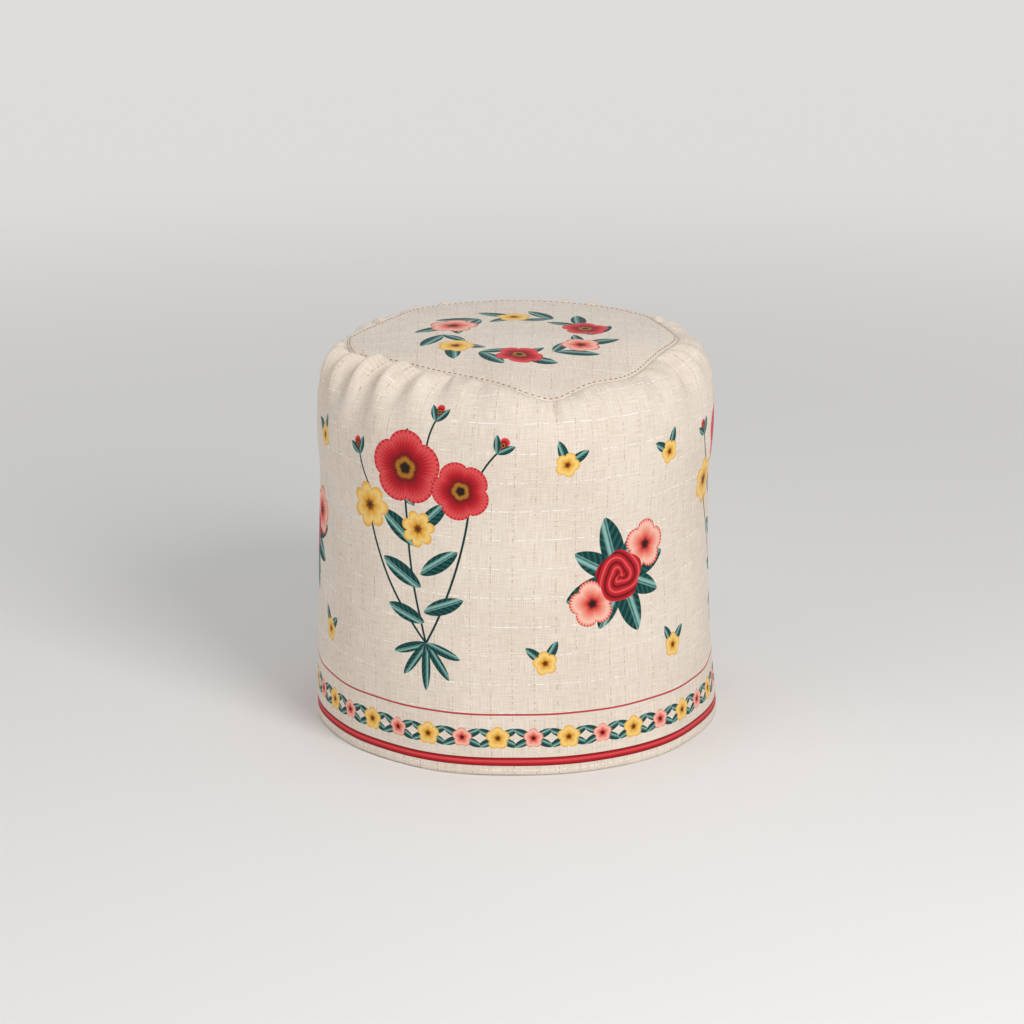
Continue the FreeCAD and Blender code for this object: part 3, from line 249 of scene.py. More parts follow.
class Print:
    """Paints motifs over a cloth's colour, one after another, in the cloth's own coordinates."""

    def __init__(self, tree, place, ground):
        self.tree = tree
        self.place = place
        self.paint = ground

    def over(self, mask, motif):
        self.paint = self.tree.mix(mask, self.paint, motif)

    def leaf(self, x, y, turn, length, width, tip=0.75):
        """A pointed leaf that starts at a point: dark, veined, with a pale midrib and light on one flank."""
        tree = self.tree
        angle = math.radians(turn)
        middle_x, middle_y = x + length / 2 * math.cos(angle), y + length / 2 * math.sin(angle)
        along, across = tree.split(tree.local(self.place, middle_x, middle_y, angle, length / 2, width / 2))
        off = abs(across)
        half = (1 - along * along) ** tip
        inside = tree.step(half - off, 0.0, 2 * EDGE / width)
        vein_slant, vein_rate = -0.4, 22
        vein = (tree.sum(off, vein_slant, along) * vein_rate).sine()
        blade = tree.mix(vein, TEAL_DARK, TEAL)
        flank = tree.step(across, 0.06, 0.26) * tree.step(across, 0.3, 0.62, 0.8, 0.0)
        blade = tree.mix(flank, blade, TEAL_LIGHT)
        rib = tree.step(off, 0.02, 0.1, 0.5, 0.0)
        self.over(inside, tree.mix(rib, blade, TEAL_LIGHT))

    def stem(self, x, y, turn, length, bow, width):
        """A thin stalk that bows to one side."""
        tree = self.tree
        along, across = tree.split(tree.local(self.place, x, y, math.radians(turn), length, length))
        off = abs(across - along * (1 - along) * (4 * bow / length))
        side = tree.step(off, width / 2 / length, (width / 2 + EDGE) / length, 1.0, 0.0)
        ends = tree.step(abs(along - 0.5), 0.5 - EDGE / length, 0.5, 1.0, 0.0)
        self.over(side * ends, TEAL_DARK)

    def blossom(self, x, y, radius, turn, petals, stops, notch=0.25):
        """An open flower: petals round an eye, coloured outwards by stops, with fine streaks."""
        tree = self.tree
        streaks = 9
        here = tree.local(self.place, x, y, math.radians(turn), radius, radius)
        across, up = tree.split(here)
        angle = tree.math("ARCTAN2", up, across)
        reach = tree.length(here)
        lobe = abs((angle * (petals / 2)).cosine()) ** 0.55
        rim = tree.sum(lobe, notch, 1 - notch)
        inside = tree.step(rim - reach, 0.0, EDGE / radius)
        streak = (angle * (petals * streaks)).sine()
        self.over(inside, tree.ramp(tree.sum(streak, 0.05, reach / rim), stops))

    def rose(self, x, y, radius, turn):
        """A full round flower of curled petals."""
        tree = self.tree
        here = tree.local(self.place, x, y, math.radians(turn), radius, radius)
        across, up = tree.split(here)
        angle = tree.math("ARCTAN2", up, across)
        reach = tree.length(here)
        rim = 0.93 + (angle * 5).cosine() * 0.05 + (angle * 3 + 1.0).sine() * 0.03
        inside = tree.step(rim - reach, 0.0, EDGE / radius)
        curl = reach * 17 - angle * 2 + (angle * 3).sine() * 1.1
        band = curl.sine() * 0.5 + 0.5
        petal = tree.ramp(band, [(0.0, RED_DARK), (0.28, RED), (0.8, RED), (1.0, RED_LIGHT)])
        self.over(inside, petal)


CORAL_STOPS = [(0.0, EYE), (0.16, EYE), (0.2, RED), (0.42, CORAL), (0.82, CORAL_PALE), (0.95, CORAL),
               (1.0, RED)]
GOLD_STOPS = [(0.0, EYE), (0.2, GOLD_DARK), (0.3, GOLD), (0.75, GOLD_PALE), (1.0, GOLD)]
POPPY_STOPS = [(0.0, EYE), (0.17, EYE), (0.22, GOLD), (0.3, RED_DARK), (0.6, RED), (0.9, RED_LIGHT),
               (1.0, RED)]


def woven_ground(tree, place):
    """The undyed slub cloth: its colour, and the height of its threads."""
    across, up = tree.split(place)
    thread_rate, drift_rate = 1500, 60
    warp = tree.stretched_noise(across * thread_rate, up * drift_rate, 1.0)
    weft = tree.stretched_noise(across * drift_rate, up * thread_rate, 1.0)
    cloud = tree.noise(place, 14.0, 3.0)
    fleck = tree.noise(place, 900.0, 1.0)
    tone = warp * 0.35 + weft * 0.35 + cloud * 0.18 + fleck * 0.12
    ground = tree.mix(tree.step(tone, 0.36, 0.62), CREAM_SHADE, CREAM)

    # White slubs along the weft
    row_pitch, row_drift, row_spread = 23 * MM, 0.35, 7.3
    rows = up / row_pitch + tree.stretched_noise(across * 3.0, up * 0.5, 1.0) * row_drift
    line = 1 - tree.step(abs(tree.math("FRACT", rows) - 0.5), 0.008, 0.024)
    number = tree.math("FLOOR", rows) * row_spread
    dash = tree.step(tree.stretched_noise(across * 320, number, 0.0), 0.47, 0.55)
    patch = tree.step(tree.stretched_noise(across * 24, number, 1.0), 0.36, 0.56)
    slub = line * dash * patch
    ground = tree.mix(slub * 0.9, ground, SLUB_WHITE)

    # Brown flecks along the warp
    column_pitch, column_drift = 15 * MM, 1.4
    columns = across / column_pitch + tree.stretched_noise(across * 12, up * 1.5, 0.0) * column_drift
    thread = 1 - tree.step(abs(tree.math("FRACT", columns) - 0.5), 0.014, 0.035)
    dots = tree.step(tree.stretched_noise(across * 20, up * 420, 1.0), 0.48, 0.62)
    ground = tree.mix(thread * dots * 0.55, ground, YARN_BROWN)
    height = warp + weft + slub * 0.8
    return ground, height


def repeat_place(tree, place, period):
    """The cloth's coordinates folded into one repeat of its print, with zero at the middle of the front."""
    across, up = tree.split(place)
    wrapped = tree.math("FRACT", across / period - (GIRTH / 2 / period - 0.5))
    return tree.join((wrapped - 0.5) * period, up)


def paint_sprig(work, x, y, turn):
    """A small gold flower on two leaves."""
    for side in (-40, 40):
        work.leaf(x * MM, y * MM, turn + side, 20 * MM, 8 * MM)
    work.blossom(x * MM, y * MM, 10 * MM, turn, 5, GOLD_STOPS, 0.3)


def paint_bud(work, x, y, turn):
    """A closed bud at the end of a short stalk."""
    stalk, sepal, tip, heel = 36 * MM, 15 * MM, 5 * MM, 3 * MM
    along_x, along_y = math.cos(math.radians(turn)), math.sin(math.radians(turn))
    work.stem(x - stalk * along_x, y - stalk * along_y, turn, stalk, 2 * MM, 1.2 * MM)
    work.blossom(x + tip * along_x, y + tip * along_y, 6.5 * MM, turn, 3, POPPY_STOPS, 0.4)
    for side in (-34, 34):
        work.leaf(x - heel * along_x, y - heel * along_y, turn + side, sepal, 0.4 * sepal)


def paint_spray(work):
    """An upright spray of poppies, gold daisies and leaves."""
    work.place = repeat_place(work.tree, work.place, PERIOD)
    foot_x, foot_y = -70 * MM, 104 * MM
    for turn, length, bow in ((96, 170, 8), (74, 132, -7), (118, 120, 8)):
        work.stem(foot_x, foot_y, turn, length * MM, bow * MM, 1.5 * MM)
    for rise, reach, turn in ((16, 34, 160), (24, 36, 22), (44, 40, 150), (54, 38, 34), (76, 42, 142),
                              (88, 36, 44), (108, 34, 132), (120, 30, 60)):
        lean = -0.1 * rise
        work.leaf(foot_x + lean * MM, foot_y + rise * MM, turn, reach * MM, 0.36 * reach * MM)
    for turn, reach in ((200, 30), (235, 34), (270, 38), (305, 34), (340, 30)):
        work.leaf(foot_x, foot_y, turn, reach * MM, 8 * MM, 0.6)
    for x, y, turn in ((-64, 284, 80), (-134, 248, 115), (-12, 262, 58)):
        paint_bud(work, x * MM, y * MM, turn)
    for x, y, radius, turn in ((-88, 242, 30, 18), (-42, 228, 24, 40)):
        work.blossom(x * MM, y * MM, radius * MM, turn, 5, POPPY_STOPS, 0.18)
    for x, y, radius, turn in ((-124, 206, 19, 0), (-78, 194, 15, 10)):
        work.blossom(x * MM, y * MM, radius * MM, turn, 7, GOLD_STOPS, 0.35)


def paint_cluster(work):
    """A round rose between leaves, with two coral blossoms, and sprigs about it."""
    work.place = repeat_place(work.tree, work.place, PERIOD)
    x, y = 86 * MM, 156 * MM
    for turn, reach in ((15, 46), (60, 42), (105, 50), (150, 44), (200, 48), (245, 44), (290, 50), (335, 42)):
        work.leaf(x, y, turn, reach * MM, 0.42 * reach * MM)
    work.blossom(x + 25 * MM, y + 21 * MM, 20 * MM, 12, 5, CORAL_STOPS)
    work.blossom(x - 24 * MM, y - 19 * MM, 19 * MM, 30, 5, CORAL_STOPS)
    work.rose(x, y, 22 * MM, 20)
    for place in ((40, 250, 70), (136, 246, 110), (24, 92, 100), (142, 88, 80)):
        paint_sprig(work, *place)


def paint_border(work):
    """A straight red band above the hem, a thin line over it, and gold and coral flowers in a row between."""
    tree = work.tree
    step = PERIOD / 12
    work.place = repeat_place(tree, work.place, 2 * step)
    up = tree.split(work.place)[1]
    band = [(0.0, RED_DARK), (0.3, RED), (0.6, RED_LIGHT), (0.72, RED), (1.0, RED_DARK)]
    for level, width in ((13 * MM, 7 * MM), (51 * MM, 1.6 * MM)):
        off = (up - level) / (width / 2)
        work.over(1 - tree.step(abs(off), 1 - EDGE / width, 1.0), tree.ramp(off * 0.5 + 0.5, band))
    middle = 32 * MM
    for side, radius, stops in ((-1, 9.5 * MM, GOLD_STOPS), (1, 8 * MM, CORAL_STOPS)):
        for turn in (25, 155, 335, 205):
            work.leaf(side * step / 2, middle, turn, 17 * MM, 6.5 * MM)
        work.blossom(side * step / 2, middle, radius, 90, 5, stops, 0.3)


def paint_top(work):
    """A wreath of leaves and blossoms on the top panel."""
    count, ring = 12, 58 * MM

    def on_ring(turn):
        return ring * math.cos(math.radians(turn)), ring * math.sin(math.radians(turn))

    for i in range(count):
        turn = 360 / count * i
        work.leaf(*on_ring(turn), turn + 62, 36 * MM, 13 * MM)
        work.leaf(*on_ring(turn), turn + 130, 28 * MM, 10 * MM)
    for turn, radius, stops in ((20, 19, POPPY_STOPS), (92, 14, GOLD_STOPS), (150, 20, CORAL_STOPS),
                                (215, 15, GOLD_STOPS), (272, 19, POPPY_STOPS), (330, 16, CORAL_STOPS)):
        work.blossom(*on_ring(turn), radius * MM, turn, 5, stops)


def cloth_material(name, paint):
    """Slub cloth with a print that a function paints on it."""
    tree = Tree(name, Roughness=0.86, Sheen_Weight=0.12, Sheen_Roughness=0.4, Specular_IOR_Level=0.25)
    place = tree.node("ShaderNodeUVMap", uv_map="cloth")
    ground, height = woven_ground(tree, place)
    work = Print(tree, place, ground)
    paint(work)
    tree.finish(Base_Color=work.paint, Normal=tree.bump(height, 0.25 * MM, 0.6))
    return tree.material


def lining_material():
    """The plain back of the slub cloth."""
    tree = Tree("cloth_lining", Roughness=0.9, Sheen_Weight=0.1, Specular_IOR_Level=0.2)
    place = tree.node("ShaderNodeUVMap", uv_map="cloth")
    ground, height = woven_ground(tree, place)
    tree.finish(Base_Color=ground, Normal=tree.bump(height, 0.25 * MM, 0.6))
    return tree.material


def thread_material():
    """Brown sewing thread, a little uneven."""
    tree = Tree("stitch_thread", Roughness=0.7, Sheen_Weight=0.2)
    place = tree.coordinates("Object")
    ply = tree.noise(place, 1600.0, 2.0)
    tree.finish(Base_Color=tree.mix(tree.step(ply, 0.35, 0.65), colour(140, 98, 70), colour(186, 146, 114)),
                Normal=tree.bump(ply, 0.1 * MM, 0.6))
    return tree.material


# Finishes of the cooker


def scaled(shade, factor, lift=0.0):
    """A colour made darker or lighter by a factor."""
    return tuple(min(1.0, part * factor + lift) for part in shade[:3]) + (1.0,)


def metal(name, shade, roughness, stretch=(1, 1, 1)):
    """Sheet metal with fine lines along one way and faint smears."""
    tree = Tree(name, Metallic=1.0)
    inputs = {"Vector": tree.coordinates("Object"), "Scale": stretch}
    grain = tree.noise(tree.node("ShaderNodeMapping", inputs), 900.0, 2.0)
    smear = tree.noise(tree.coordinates("Object"), 18.0, 3.0)
    tree.finish(Base_Color=tree.mix(tree.step(grain, 0.3, 0.7), scaled(shade, 0.86), shade),
                Roughness=grain * 0.12 + smear * 0.16 + (roughness - 0.14),
                Normal=tree.bump(grain, 0.05 * MM, 0.35))
    return tree.material


def moulded(name, shade, roughness, grain_scale=1400.0, grain_depth=0.08):
    """Moulded plastic or rubber with a fine spark-eroded grain."""
    tree = Tree(name, Specular_IOR_Level=0.45)
    place = tree.coordinates("Object")
    grain = tree.noise(place, grain_scale, 2.0)
    cloud = tree.noise(place, 24.0, 3.0)
    tree.finish(Base_Color=tree.mix(cloud, shade, scaled(shade, 1.25, 0.006)),
                Roughness=cloud * 0.14 + (roughness - 0.07),
                Normal=tree.bump(grain, grain_depth * MM, 0.5))
    return tree.material


def enamel(name, shade):
    """Gloss paint on steel with a slight orange peel."""
    tree = Tree(name, Coat_Weight=0.5, Coat_Roughness=0.08)
    place = tree.coordinates("Object")
    peel = tree.noise(place, 260.0, 2.0)
    cloud = tree.noise(place, 30.0, 4.0)
    tree.finish(Base_Color=tree.mix(cloud, scaled(shade, 0.97), shade), Roughness=cloud * 0.06 + 0.26,
                Normal=tree.bump(peel, 0.03 * MM, 0.2))
    return tree.material


def clear(name, shade, roughness, index, clarity=1.0):
    """Glass or clear plastic with a faint unevenness."""
    tree = Tree(name, Base_Color=shade, Transmission_Weight=clarity, IOR=index)
    haze = tree.noise(tree.coordinates("Object"), 30.0, 2.0)
    tree.finish(Roughness=haze * 0.04 + roughness)
    return tree.material


def finish_cooker():
    """Gives every piece of the cooker its finish."""
    black = moulded("black_plastic", colour(34, 34, 36), 0.5)
    steel = metal("sheet_steel", colour(196, 196, 194), 0.34, (1, 1, 12))
    plated = metal("plated_steel", colour(176, 177, 180), 0.3)
    spun = metal("spun_aluminium", colour(214, 214, 212), 0.36, (1, 1, 14))
    glass = clear("lid_glass_clear", colour(238, 247, 244), 0.02, 1.5)
    finishes = {
        black: ("base_tray", "rim_ring", "control_panel", "lever_paddle", "power_inlet", "left_handle",
                "right_handle", "lid_knob", "knob_collar", "contact_switch"),
        enamel("drum_enamel", colour(232, 226, 212)): ("drum_shell",),
        moulded("foot_rubber", colour(28, 28, 29), 0.8, 700.0, 0.15): ("rubber_feet",),
        steel: ("inner_barrel", "lever_bracket", "cook_lever", "sensor_tube", "keep_warm_band", "lid_rim"),
        plated: ("foot_screws", "plate_screws", "inlet_screws", "handle_screws", "knob_screw", "lever_pin",
                 "plate_standoffs", "sensor_spring", "magnet_plunger", "vent_eyelet", "heating_element"),
        spun: ("inner_pot", "heating_plate", "sensor_cap"),
        moulded("ferrite", colour(58, 56, 58), 0.6): ("ferrite_disc",),
        metal("contact_brass", colour(206, 176, 104), 0.3): ("inlet_contacts",),
        glass: ("lid_glass", "indicator_lamps"),
        clear("amber_lens", colour(240, 130, 40), 0.12, 1.46, 0.5): ("cook_lens",),
        clear("green_lens", colour(80, 190, 90), 0.12, 1.46, 0.5): ("warm_lens",),
        moulded("red_lead", colour(170, 30, 30), 0.45): ("live_lead", "switched_lead"),
        moulded("blue_lead", colour(40, 70, 150), 0.45): ("neutral_lead",),
        moulded("white_sleeve", colour(226, 224, 216), 0.7, 500.0, 0.2): ("thermal_fuse",),
    }
    for material, nodes in finishes.items():
        for node in nodes:
            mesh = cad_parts[node].data
            mesh.materials.clear()
            mesh.materials.append(material)


# Shape of the cover


def smooth(value):
    """0 up to 0, 1 from 1 on, with level ends."""
    share = np.clip(value, 0.0, 1.0)
    return share * share * (3 - 2 * share)


def bell(value):
    """1 at 0, falling to nothing on both sides."""
    return np.exp(-value * value)


def between(turn, middle):
    """The angle from one direction to another, from -pi to pi."""
    return np.angle(np.exp(1j * (turn - middle)))


def seam_reach(turn):
    """Radius of the top seam, drawn in to straighter sides; each side has a direction and a reach in mm."""
    sides = ((146, 109), (211, 126), (246, 118), (288, 127), (335, 134), (15, 136), (62, 124), (105, 138))
    sharpness = 22
    total = 0.0
    for middle, reach in sides:
        facing = np.maximum(np.cos(turn - math.radians(middle)), 0.0)
        total = total + (facing / (reach * MM)) ** sharpness
    return np.minimum(total ** (-1 / sharpness), SEAM_RADIUS)


def seam_rise(turn):
    """Height of the top seam: it climbs where it is drawn in, and droops at the front, most at one corner."""
    front = 3 * MM * smooth((1.2 - abs(between(turn, math.radians(190)))) / 0.5)
    corner = 10 * MM * bell(between(turn, math.radians(192.5)) / 0.18)
    beside = 3 * MM * bell(between(turn, math.radians(222)) / 0.3)
    return SEAM_LEVEL + 0.07 * (SEAM_RADIUS - seam_reach(turn)) - front - corner - beside


def wall_profile(turn, rows):
    """Radius, height and run along the side panel in each direction, from its turned-in hem to the seam."""
    hem_steps, wall_steps, round_steps = 9, 300, 200
    hem_turn = np.linspace(0.0, math.pi, hem_steps)
    hem_fold = 1.5 * MM
    hem_radius = HEM_RADIUS - hem_fold - hem_fold * np.cos(hem_turn)
    hem_height = hem_fold - hem_fold * np.sin(hem_turn)
    height = np.linspace(hem_fold, WIDEST_LEVEL, wall_steps)[1:]
    taper = np.minimum(height / WAIST_LEVEL, 1.0)
    swell = smooth((height - WAIST_LEVEL) / (WIDEST_LEVEL - WAIST_LEVEL))
    radius = HEM_RADIUS + (WAIST_RADIUS - HEM_RADIUS) * taper + (SHOULDER_RADIUS - WAIST_RADIUS) * swell
    arc = np.linspace(0.0, math.pi / 2, round_steps)[1:]
    radii, heights, runs = [], [], []
    for direction in turn:
        reach, rise = seam_reach(direction), seam_rise(direction)
        right, left = (bell(between(direction, math.radians(middle)) / 0.6) for middle in (280, 80))
        fullness = 2.5 + 0.4 * right - 0.7 * left
        power = 2 / fullness
        round_radius = reach + (SHOULDER_RADIUS - reach) * np.cos(arc) ** power
        round_height = WIDEST_LEVEL + (rise - WIDEST_LEVEL) * np.sin(arc) ** power
        line = np.concatenate([[hem_radius[0]], hem_radius, radius, round_radius])
        climb = np.concatenate([[HEM_TURNING], hem_height, height, round_height])
        run = np.append(0.0, np.cumsum(np.hypot(np.diff(line), np.diff(climb))))
        places = np.linspace(0.0, run[-1], rows)
        radii.append(np.interp(places, run, line))
        heights.append(np.interp(places, run, climb))
        runs.append(places - HEM_TURNING)
    return np.array(radii).T, np.array(heights).T, np.array(runs).T


def cover_lean(level):
    """How far the slack tube leans to the left at a height."""
    farthest = -2.4 * MM
    return farthest * np.sin(math.pi * level / SEAM_LEVEL)


def gathers(turn, down):
    """Small puckers that the gathering thread draws in all round under the top seam."""
    draws = np.random.default_rng(7)
    count = 40
    out = np.zeros(turn.shape)
    for i in range(count):
        middle = 2 * math.pi * (i + draws.uniform(-0.35, 0.35)) / count
        reach = draws.uniform(24, 58) * MM
        depth = draws.uniform(0.5, 1.8) * MM
        width = draws.uniform(2.0, 4.2) * MM / SEAM_RADIUS
        slant = draws.uniform(-0.6, 0.6)
        fade = smooth(down / (5 * MM)) * (1 - smooth((down - 0.25 * reach) / (0.75 * reach)))
        spread = width * (1 + 2.2 * down / reach)
        out -= depth * bell(between(turn, middle + slant * down) / spread) * fade
    return out


def pleats(turn, down):
    """Deeper folds, each between two ridges: direction in degrees; depth, width and length in mm; lean."""
    rows = ((97, 6.0, 5.0, 88, -0.30), (107, 8.4, 5.0, 82, -0.10), (118, 6.6, 4.4, 68, -0.25),
            (128, 9.0, 5.2, 90, 0.10), (140, 6.4, 4.8, 68, -0.20), (153, 4.0, 5.0, 64, 0.20),
            (168, 2.2, 4.6, 46, 0.10), (191, 4.0, 3.0, 46, 0.00), (207, 2.0, 4.2, 42, 0.20),
            (228, 3.0, 4.4, 48, 0.20), (246, 5.6, 5.0, 64, -0.30), (258, 4.0, 4.4, 54, 0.10),
            (300, 4.2, 4.8, 62, 0.20), (338, 3.4, 4.6, 54, -0.20), (30, 4.4, 4.8, 66, 0.20),
            (62, 3.8, 4.6, 58, -0.10))
    ridge_place, ridge_share = 1.7, 0.55
    out = np.zeros(turn.shape)
    for degrees, depth, width, length, slant in rows:
        reach = length * MM
        fade = smooth(down / (7 * MM)) * (1 - smooth((down - 0.2 * reach) / (0.8 * reach)))
        spread = width * MM / SEAM_RADIUS * (1 + 1.8 * down / reach)
        off = between(turn, math.radians(degrees) + slant * down) / spread
        ridges = ridge_share * bell(off - ridge_place) + ridge_share * bell(off + ridge_place)
        out += depth * MM * fade * (ridges - bell(off))
    return out


def slackness(turn, run, down):
    """Soft folds of the tube, dents of the slack cloth and the waves of the hem."""
    middle_band = smooth(run / (40 * MM)) * smooth(down / (50 * MM))
    folds = ((0.8, 5, 9, 0.6), (0.5, 9, -14, 2.0), (0.35, 17, 21, 1.0))
    out = np.zeros(turn.shape)
    for depth, count, climb, phase in folds:
        out += depth * MM * np.sin(count * turn + climb * run + phase) * middle_band
    dents = 26
    draws = np.random.default_rng(11)
    for i in range(dents):
        middle = draws.uniform(0, 2 * math.pi)
        level = draws.uniform(60, 260) * MM
        wide, tall = draws.uniform(14, 34) * MM, draws.uniform(10, 26) * MM
        depth = draws.uniform(-0.9, 0.9) * MM
        away = between(turn, middle) * SHOULDER_RADIUS
        tilt = draws.uniform(-0.6, 0.6)
        out += depth * bell((away + tilt * (run - level)) / wide) * bell((run - level) / tall)
    hem = 1 - smooth(run / (80 * MM))
    flare = 2.2 * MM * bell(between(turn, math.radians(275)) / 0.5)
    waves = 0.8 * MM * np.sin(6 * turn + 4.0) + 0.4 * MM * np.sin(11 * turn + 2.2)
    return out + (flare + waves) * hem


def seam_grooves(turn, down):
    """The cloth dips at the top seam and along the joined edge at the back."""
    back = between(turn, 0.0) * SHOULDER_RADIUS
    top_depth, back_depth = 1.1 * MM, 1.3 * MM
    return -top_depth * bell(down / DIP_WIDTH) - back_depth * bell(back / DIP_WIDTH) * smooth(down / (4 * MM))


def around(turn, reach, level, lean=0.0):
    """Points in directions from the cover's middle: 0 is the back, and a quarter turn is the left."""
    return np.stack([lean - reach * np.sin(turn), reach * np.cos(turn), level], axis=-1)


def side_points(turn, rows):
    """Points of the side panel's outer face, one column for each direction."""
    radius, height, run = wall_profile(turn, rows)
    wide = np.broadcast_to(turn, run.shape)
    down = run[-1] - run
    out = gathers(wide, down) + pleats(wide, down) + slackness(wide, run, down) + seam_grooves(wide, down)
    hem_row = np.argmax(run[:, 0] >= 0)
    outward = np.where(run < 0, out[hem_row], out)
    steep = np.gradient(height, axis=0)
    drawn = np.gradient(radius, axis=0)
    size = np.hypot(steep, drawn)
    upright = smooth(run / (4 * MM))
    reach = radius + outward * (1 + upright * (steep / size - 1))
    level = np.maximum(height - outward * upright * drawn / size, 0.0)
    return around(wide, reach, level, cover_lean(level))


def add_object(name, data):
    """Puts a mesh, a lamp or a camera into the scene."""
    made = bpy.data.objects.new(name, data)
    bpy.context.scene.collection.objects.link(made)
    return made


def grid_mesh(name, points, places):
    """A mesh from rows of points that close on themselves, with the cloth's own coordinates as its UV map."""
    rows, columns = points.shape[:2]
    row, column = np.meshgrid(np.arange(rows - 1), np.arange(columns), indexing="ij")
    after = (column + 1) % columns
    corners = np.stack([row * columns + column, row * columns + after,
                        (row + 1) * columns + after, (row + 1) * columns + column], axis=-1)
    mesh = bpy.data.meshes.new(name)
    mesh.from_pydata(points.reshape(-1, 3).tolist(), [], corners.reshape(-1, 4).tolist())
    layer = mesh.uv_layers.new(name="cloth")
    corner_rows = np.stack([row, row, row + 1, row + 1], axis=-1).ravel()
    corner_columns = np.stack([column, column + 1, column + 1, column], axis=-1).ravel()
    layer.data.foreach_set("uv", places[corner_rows, corner_columns].astype(np.float32).ravel())
    mesh.polygons.foreach_set("use_smooth", np.ones(len(mesh.polygons), bool))
    return add_object(name, mesh)


def thicken(piece, outer, lining):
    """Gives a sheet its thickness, inwards, with the cloth's back on the inside."""
    for material in outer:
        piece.data.materials.append(material)
    piece.data.materials.append(lining)
    solid = piece.modifiers.new("thickness", "SOLIDIFY")
    solid.thickness = CLOTH
    solid.offset = -1.0
    solid.material_offset = len(outer)
    solid.material_offset_rim = 0


def side_panel():
    """The side panel's sheet, with a region of the print for each of its faces."""
    columns, rows = 640, 210
    turn = np.linspace(0.0, 2 * math.pi, columns + 1)
    run = wall_profile(turn, rows)[2]
    places = np.stack([np.broadcast_to(turn * SHOULDER_RADIUS, run.shape), run], axis=-1)
    piece = grid_mesh("cover_side_cloth", side_points(turn[:-1], rows), places)
    middle = (places[:-1, :-1] + places[1:, 1:]) / 2
    across = (middle[..., 0] - GIRTH / 2 + PERIOD / 2) % PERIOD - PERIOD / 2
    border, spray, cluster = range(3)
    region = np.where(across < SPRAY_EDGE, spray, cluster)
    region = np.where(middle[..., 1] < BORDER_TOP, border, region)
    piece.data.polygons.foreach_set("material_index", region.ravel().astype(np.int32))
    return piece


def top_points(turn, inset):
    """Points of the top panel's outer face, by their distance in from its seam: it sags to the seam's dip."""
    sag_power, ripple, dip = 2.4, 0.5 * MM, 1.0 * MM
    edge = seam_reach(turn)
    reach = edge - inset
    sag = (reach / edge) ** sag_power
    level = TOP_HIGH.z - (TOP_HIGH.z - seam_rise(turn)) * sag
    level += ripple * np.sin(reach * 60 + 3 * turn) * sag * smooth(4 * inset / edge)
    level -= dip * bell(inset / DIP_WIDTH)
    return around(turn, reach, level)


def top_panel():
    """The top panel's sheet, from a pinhole at its middle to the seam."""
    columns, rows = 320, 70
    turn = np.linspace(2 * math.pi, 0.0, columns + 1)
    innermost = 0.004
    share = np.linspace(innermost, 1.0, rows)[:, None]
    points = top_points(turn, (1 - share) * seam_reach(turn))
    return grid_mesh("cover_top_cloth", points[:, :-1], points[..., :2])


def stitches(name, line, material):
    """A row of thread loops lying along a line of points, one between each pair."""
    sides, rings = 8, 7
    thick, sink = 0.45 * MM, 0.15 * MM
    points, faces = [], []
    for start, end in zip(line[:-1:2], line[1::2]):
        along = end - start
        length = np.linalg.norm(along)
        along = along / length
        side = np.cross(along, (0.0, 0.0, 1.0))
        side = side / np.linalg.norm(side)
        up = np.cross(side, along)
        first = len(points)
        for i in range(rings):
            share = i / (rings - 1)
            swell = math.sqrt(max(1 - (2 * share - 1) ** 4, 0.02))
            middle = start + along * length * share + up * (thick * swell * 0.5 - sink)
            for j in range(sides):
                angle = 2 * math.pi * j / sides
                points.append(middle + thick * swell * (math.cos(angle) * side + math.sin(angle) * up))
        for i in range(rings - 1):
            for j in range(sides):
                a, b = first + i * sides + j, first + i * sides + (j + 1) % sides
                faces.append((a, b, b + sides, a + sides))
        last = first + (rings - 1) * sides
        faces.append(tuple(first + j for j in reversed(range(sides))))
        faces.append(tuple(last + j for j in range(sides)))
    mesh = bpy.data.meshes.new(name)
    mesh.from_pydata(points, [], faces)
    mesh.polygons.foreach_set("use_smooth", [True] * len(faces))
    mesh.materials.append(material)
    return add_object(name, mesh)


def even_steps(points, pitch, share):
    """Places along a closed line in pairs: the start and the end of each stitch."""
    loop = np.vstack([points, points[:1]])
    run = np.append(0.0, np.cumsum(np.linalg.norm(np.diff(loop, axis=0), axis=1)))
    count = round(run[-1] / pitch)
    starts = np.arange(count) * run[-1] / count
    places = np.stack([starts, starts + share * pitch], axis=1).ravel() % run[-1]
    return np.stack([np.interp(places, run, loop[:, i]) for i in range(3)], axis=1)


def top_stitches(material):
    """The topstitching of the seam, just inside the top panel's edge."""
    inset, pitch, stitch_share, directions = 2.4 * MM, 5.0 * MM, 0.6, 720
    turn = np.linspace(0.0, 2 * math.pi, directions, endpoint=False)
    steps = even_steps(top_points(turn, inset), pitch, stitch_share)
    return stitches("cover_seam_stitches", steps, material)


def make_cover():
    """The cover: its two sheets and the thread of its seam, in place of the two solids."""
    lining = lining_material()
    outer = [cloth_material("border_cloth", paint_border), cloth_material("spray_cloth", paint_spray),
             cloth_material("cluster_cloth", paint_cluster)]
    side = side_panel()
    thicken(side, outer, lining)
    top = top_panel()
    thicken(top, [cloth_material("top_cloth", paint_top)], lining)
    thread = top_stitches(thread_material())
    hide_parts("cover_side_panel")
    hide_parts("cover_top_panel")
    for piece in (side, top, thread):
        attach(piece, "cover")
    back, rows = np.array([0.0]), 200
    wall_length = wall_profile(back, rows)[2][-1, 0] + HEM_TURNING


# Stage, light and camera


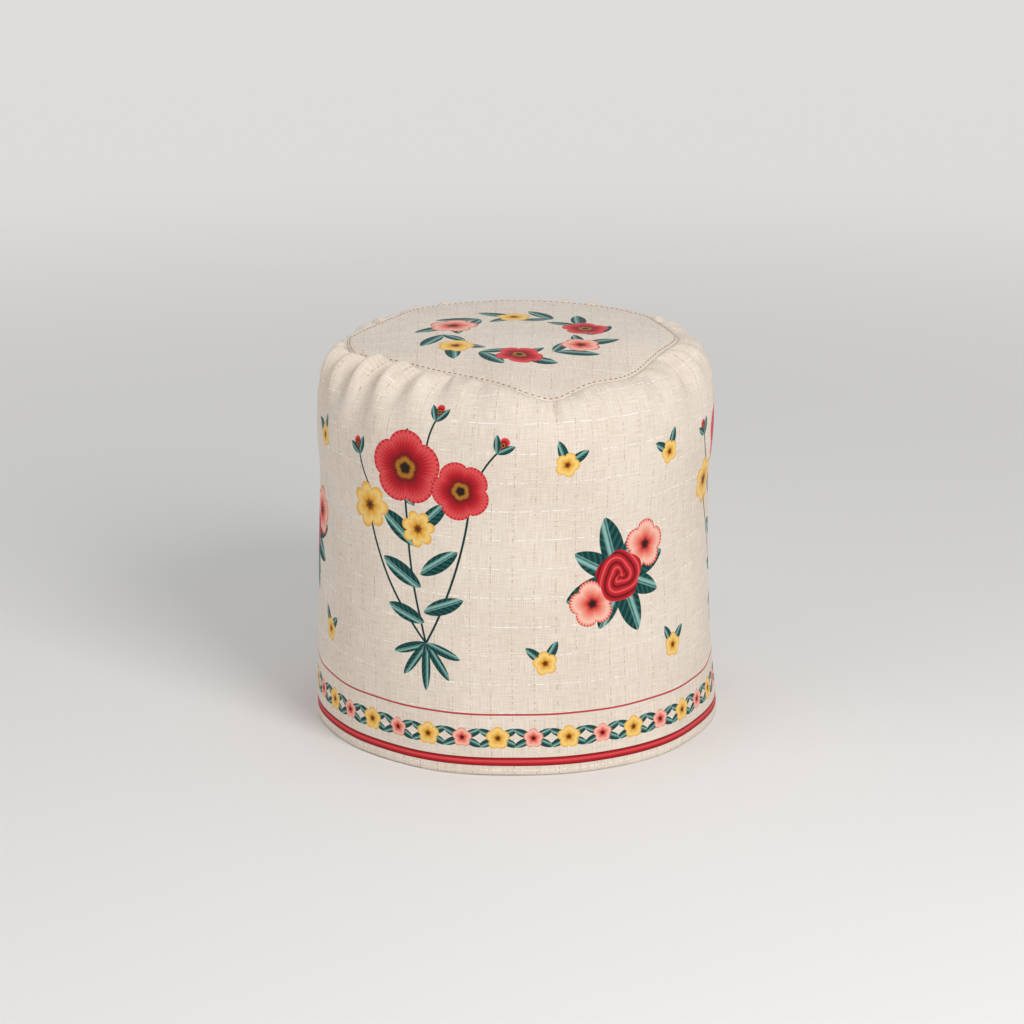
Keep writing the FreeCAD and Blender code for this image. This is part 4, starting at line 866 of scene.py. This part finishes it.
def make_floor():
    """A wide round floor of pale paper, just under the object."""
    radius, corners, drop = 9.0, 96, 0.2 * MM
    angles = [2 * math.pi * i / corners for i in range(corners)]
    mesh = bpy.data.meshes.new("floor")
    points = [(radius * math.cos(angle), radius * math.sin(angle), -drop) for angle in angles]
    mesh.from_pydata(points, [], [tuple(range(corners))])
    mesh.materials.append(floor_material())
    add_object("floor", mesh)


def floor_material():
    """Pale paper that takes shadows near the object; far off, it is seen evenly pale."""
    pale = colour(240, 238, 235)
    glow = 0.78
    tree = Tree("floor_paper", Roughness=0.9, Emission_Color=pale)
    place = tree.coordinates("Object")
    near_edge, far_edge = 0.6, 2.2
    far = tree.step(tree.length(place), near_edge, far_edge) * tree.seen()
    cloud = tree.noise(place, 3.0, 2.0)
    paper = tree.mix(cloud, colour(238, 236, 233), pale)
    tree.finish(Base_Color=tree.mix(far, paper, (0.0, 0.0, 0.0, 1.0)), Emission_Strength=far * glow)
    return tree.material


def area_lamp(name, place, target, size, power):
    """A square lamp that faces a point; its power is in watts."""
    lamp = bpy.data.lights.new(name, "AREA")
    lamp.size = size
    lamp.energy = power
    holder = add_object(name, lamp)
    holder.location = place
    holder.rotation_euler = (Vector(target) - Vector(place)).to_track_quat("-Z", "Y").to_euler()


def make_light():
    """A large key lamp at the front right, a weak fill at the left, a weak lamp overhead and the world."""
    middle = (0, 0, 0.16)
    area_lamp("key", (1.1, -1.75, 1.6), middle, 1.0, 33)
    area_lamp("fill", (-1.7, -1.3, 0.9), middle, 1.6, 8)
    area_lamp("over", (0.0, 0.5, 2.2), middle, 1.6, 5)
    make_world()


def make_world():
    """Even studio light, with a paler backdrop where the camera, gloss or glass looks past the floor."""
    light, backdrop = 0.42, 0.84
    world = bpy.data.worlds.new("studio")
    world.use_nodes = True
    nodes, links = world.node_tree.nodes, world.node_tree.links
    path = nodes.new("ShaderNodeLightPath")
    seen = path.outputs["Is Camera Ray"]
    for ray in ("Is Glossy Ray", "Is Transmission Ray"):
        either = nodes.new("ShaderNodeMath")
        either.operation = "MAXIMUM"
        links.new(seen, either.inputs[0])
        links.new(path.outputs[ray], either.inputs[1])
        seen = either.outputs[0]
    strength = nodes.new("ShaderNodeMapRange")
    strength.inputs["To Min"].default_value = light
    strength.inputs["To Max"].default_value = backdrop
    links.new(seen, strength.inputs["Value"])
    background = nodes["Background"]
    background.inputs["Color"].default_value = (0.95, 0.97, 1.0, 1.0)
    links.new(strength.outputs[0], background.inputs["Strength"])
    bpy.context.scene.world = world


def make_camera():
    """A long lens, a little above the cover, as in the photograph."""
    pixels, pixels_per_metre = 1024, 1250
    distance, elevation = 3.0, math.radians(17)
    aim = Vector((-0.0036, 0.0, 0.1645))
    lens = bpy.data.cameras.new("camera")
    lens.sensor_width = 36
    lens.lens = lens.sensor_width * distance * pixels_per_metre / pixels
    holder = add_object("camera", lens)
    holder.location = aim + distance * Vector((0, -math.cos(elevation), math.sin(elevation)))
    holder.rotation_euler = (math.pi / 2 - elevation, 0, 0)
    bpy.context.scene.camera = holder


finish_cooker()
make_cover()
make_floor()
make_light()
make_camera()
bpy.context.scene.view_settings.view_transform = "Standard"
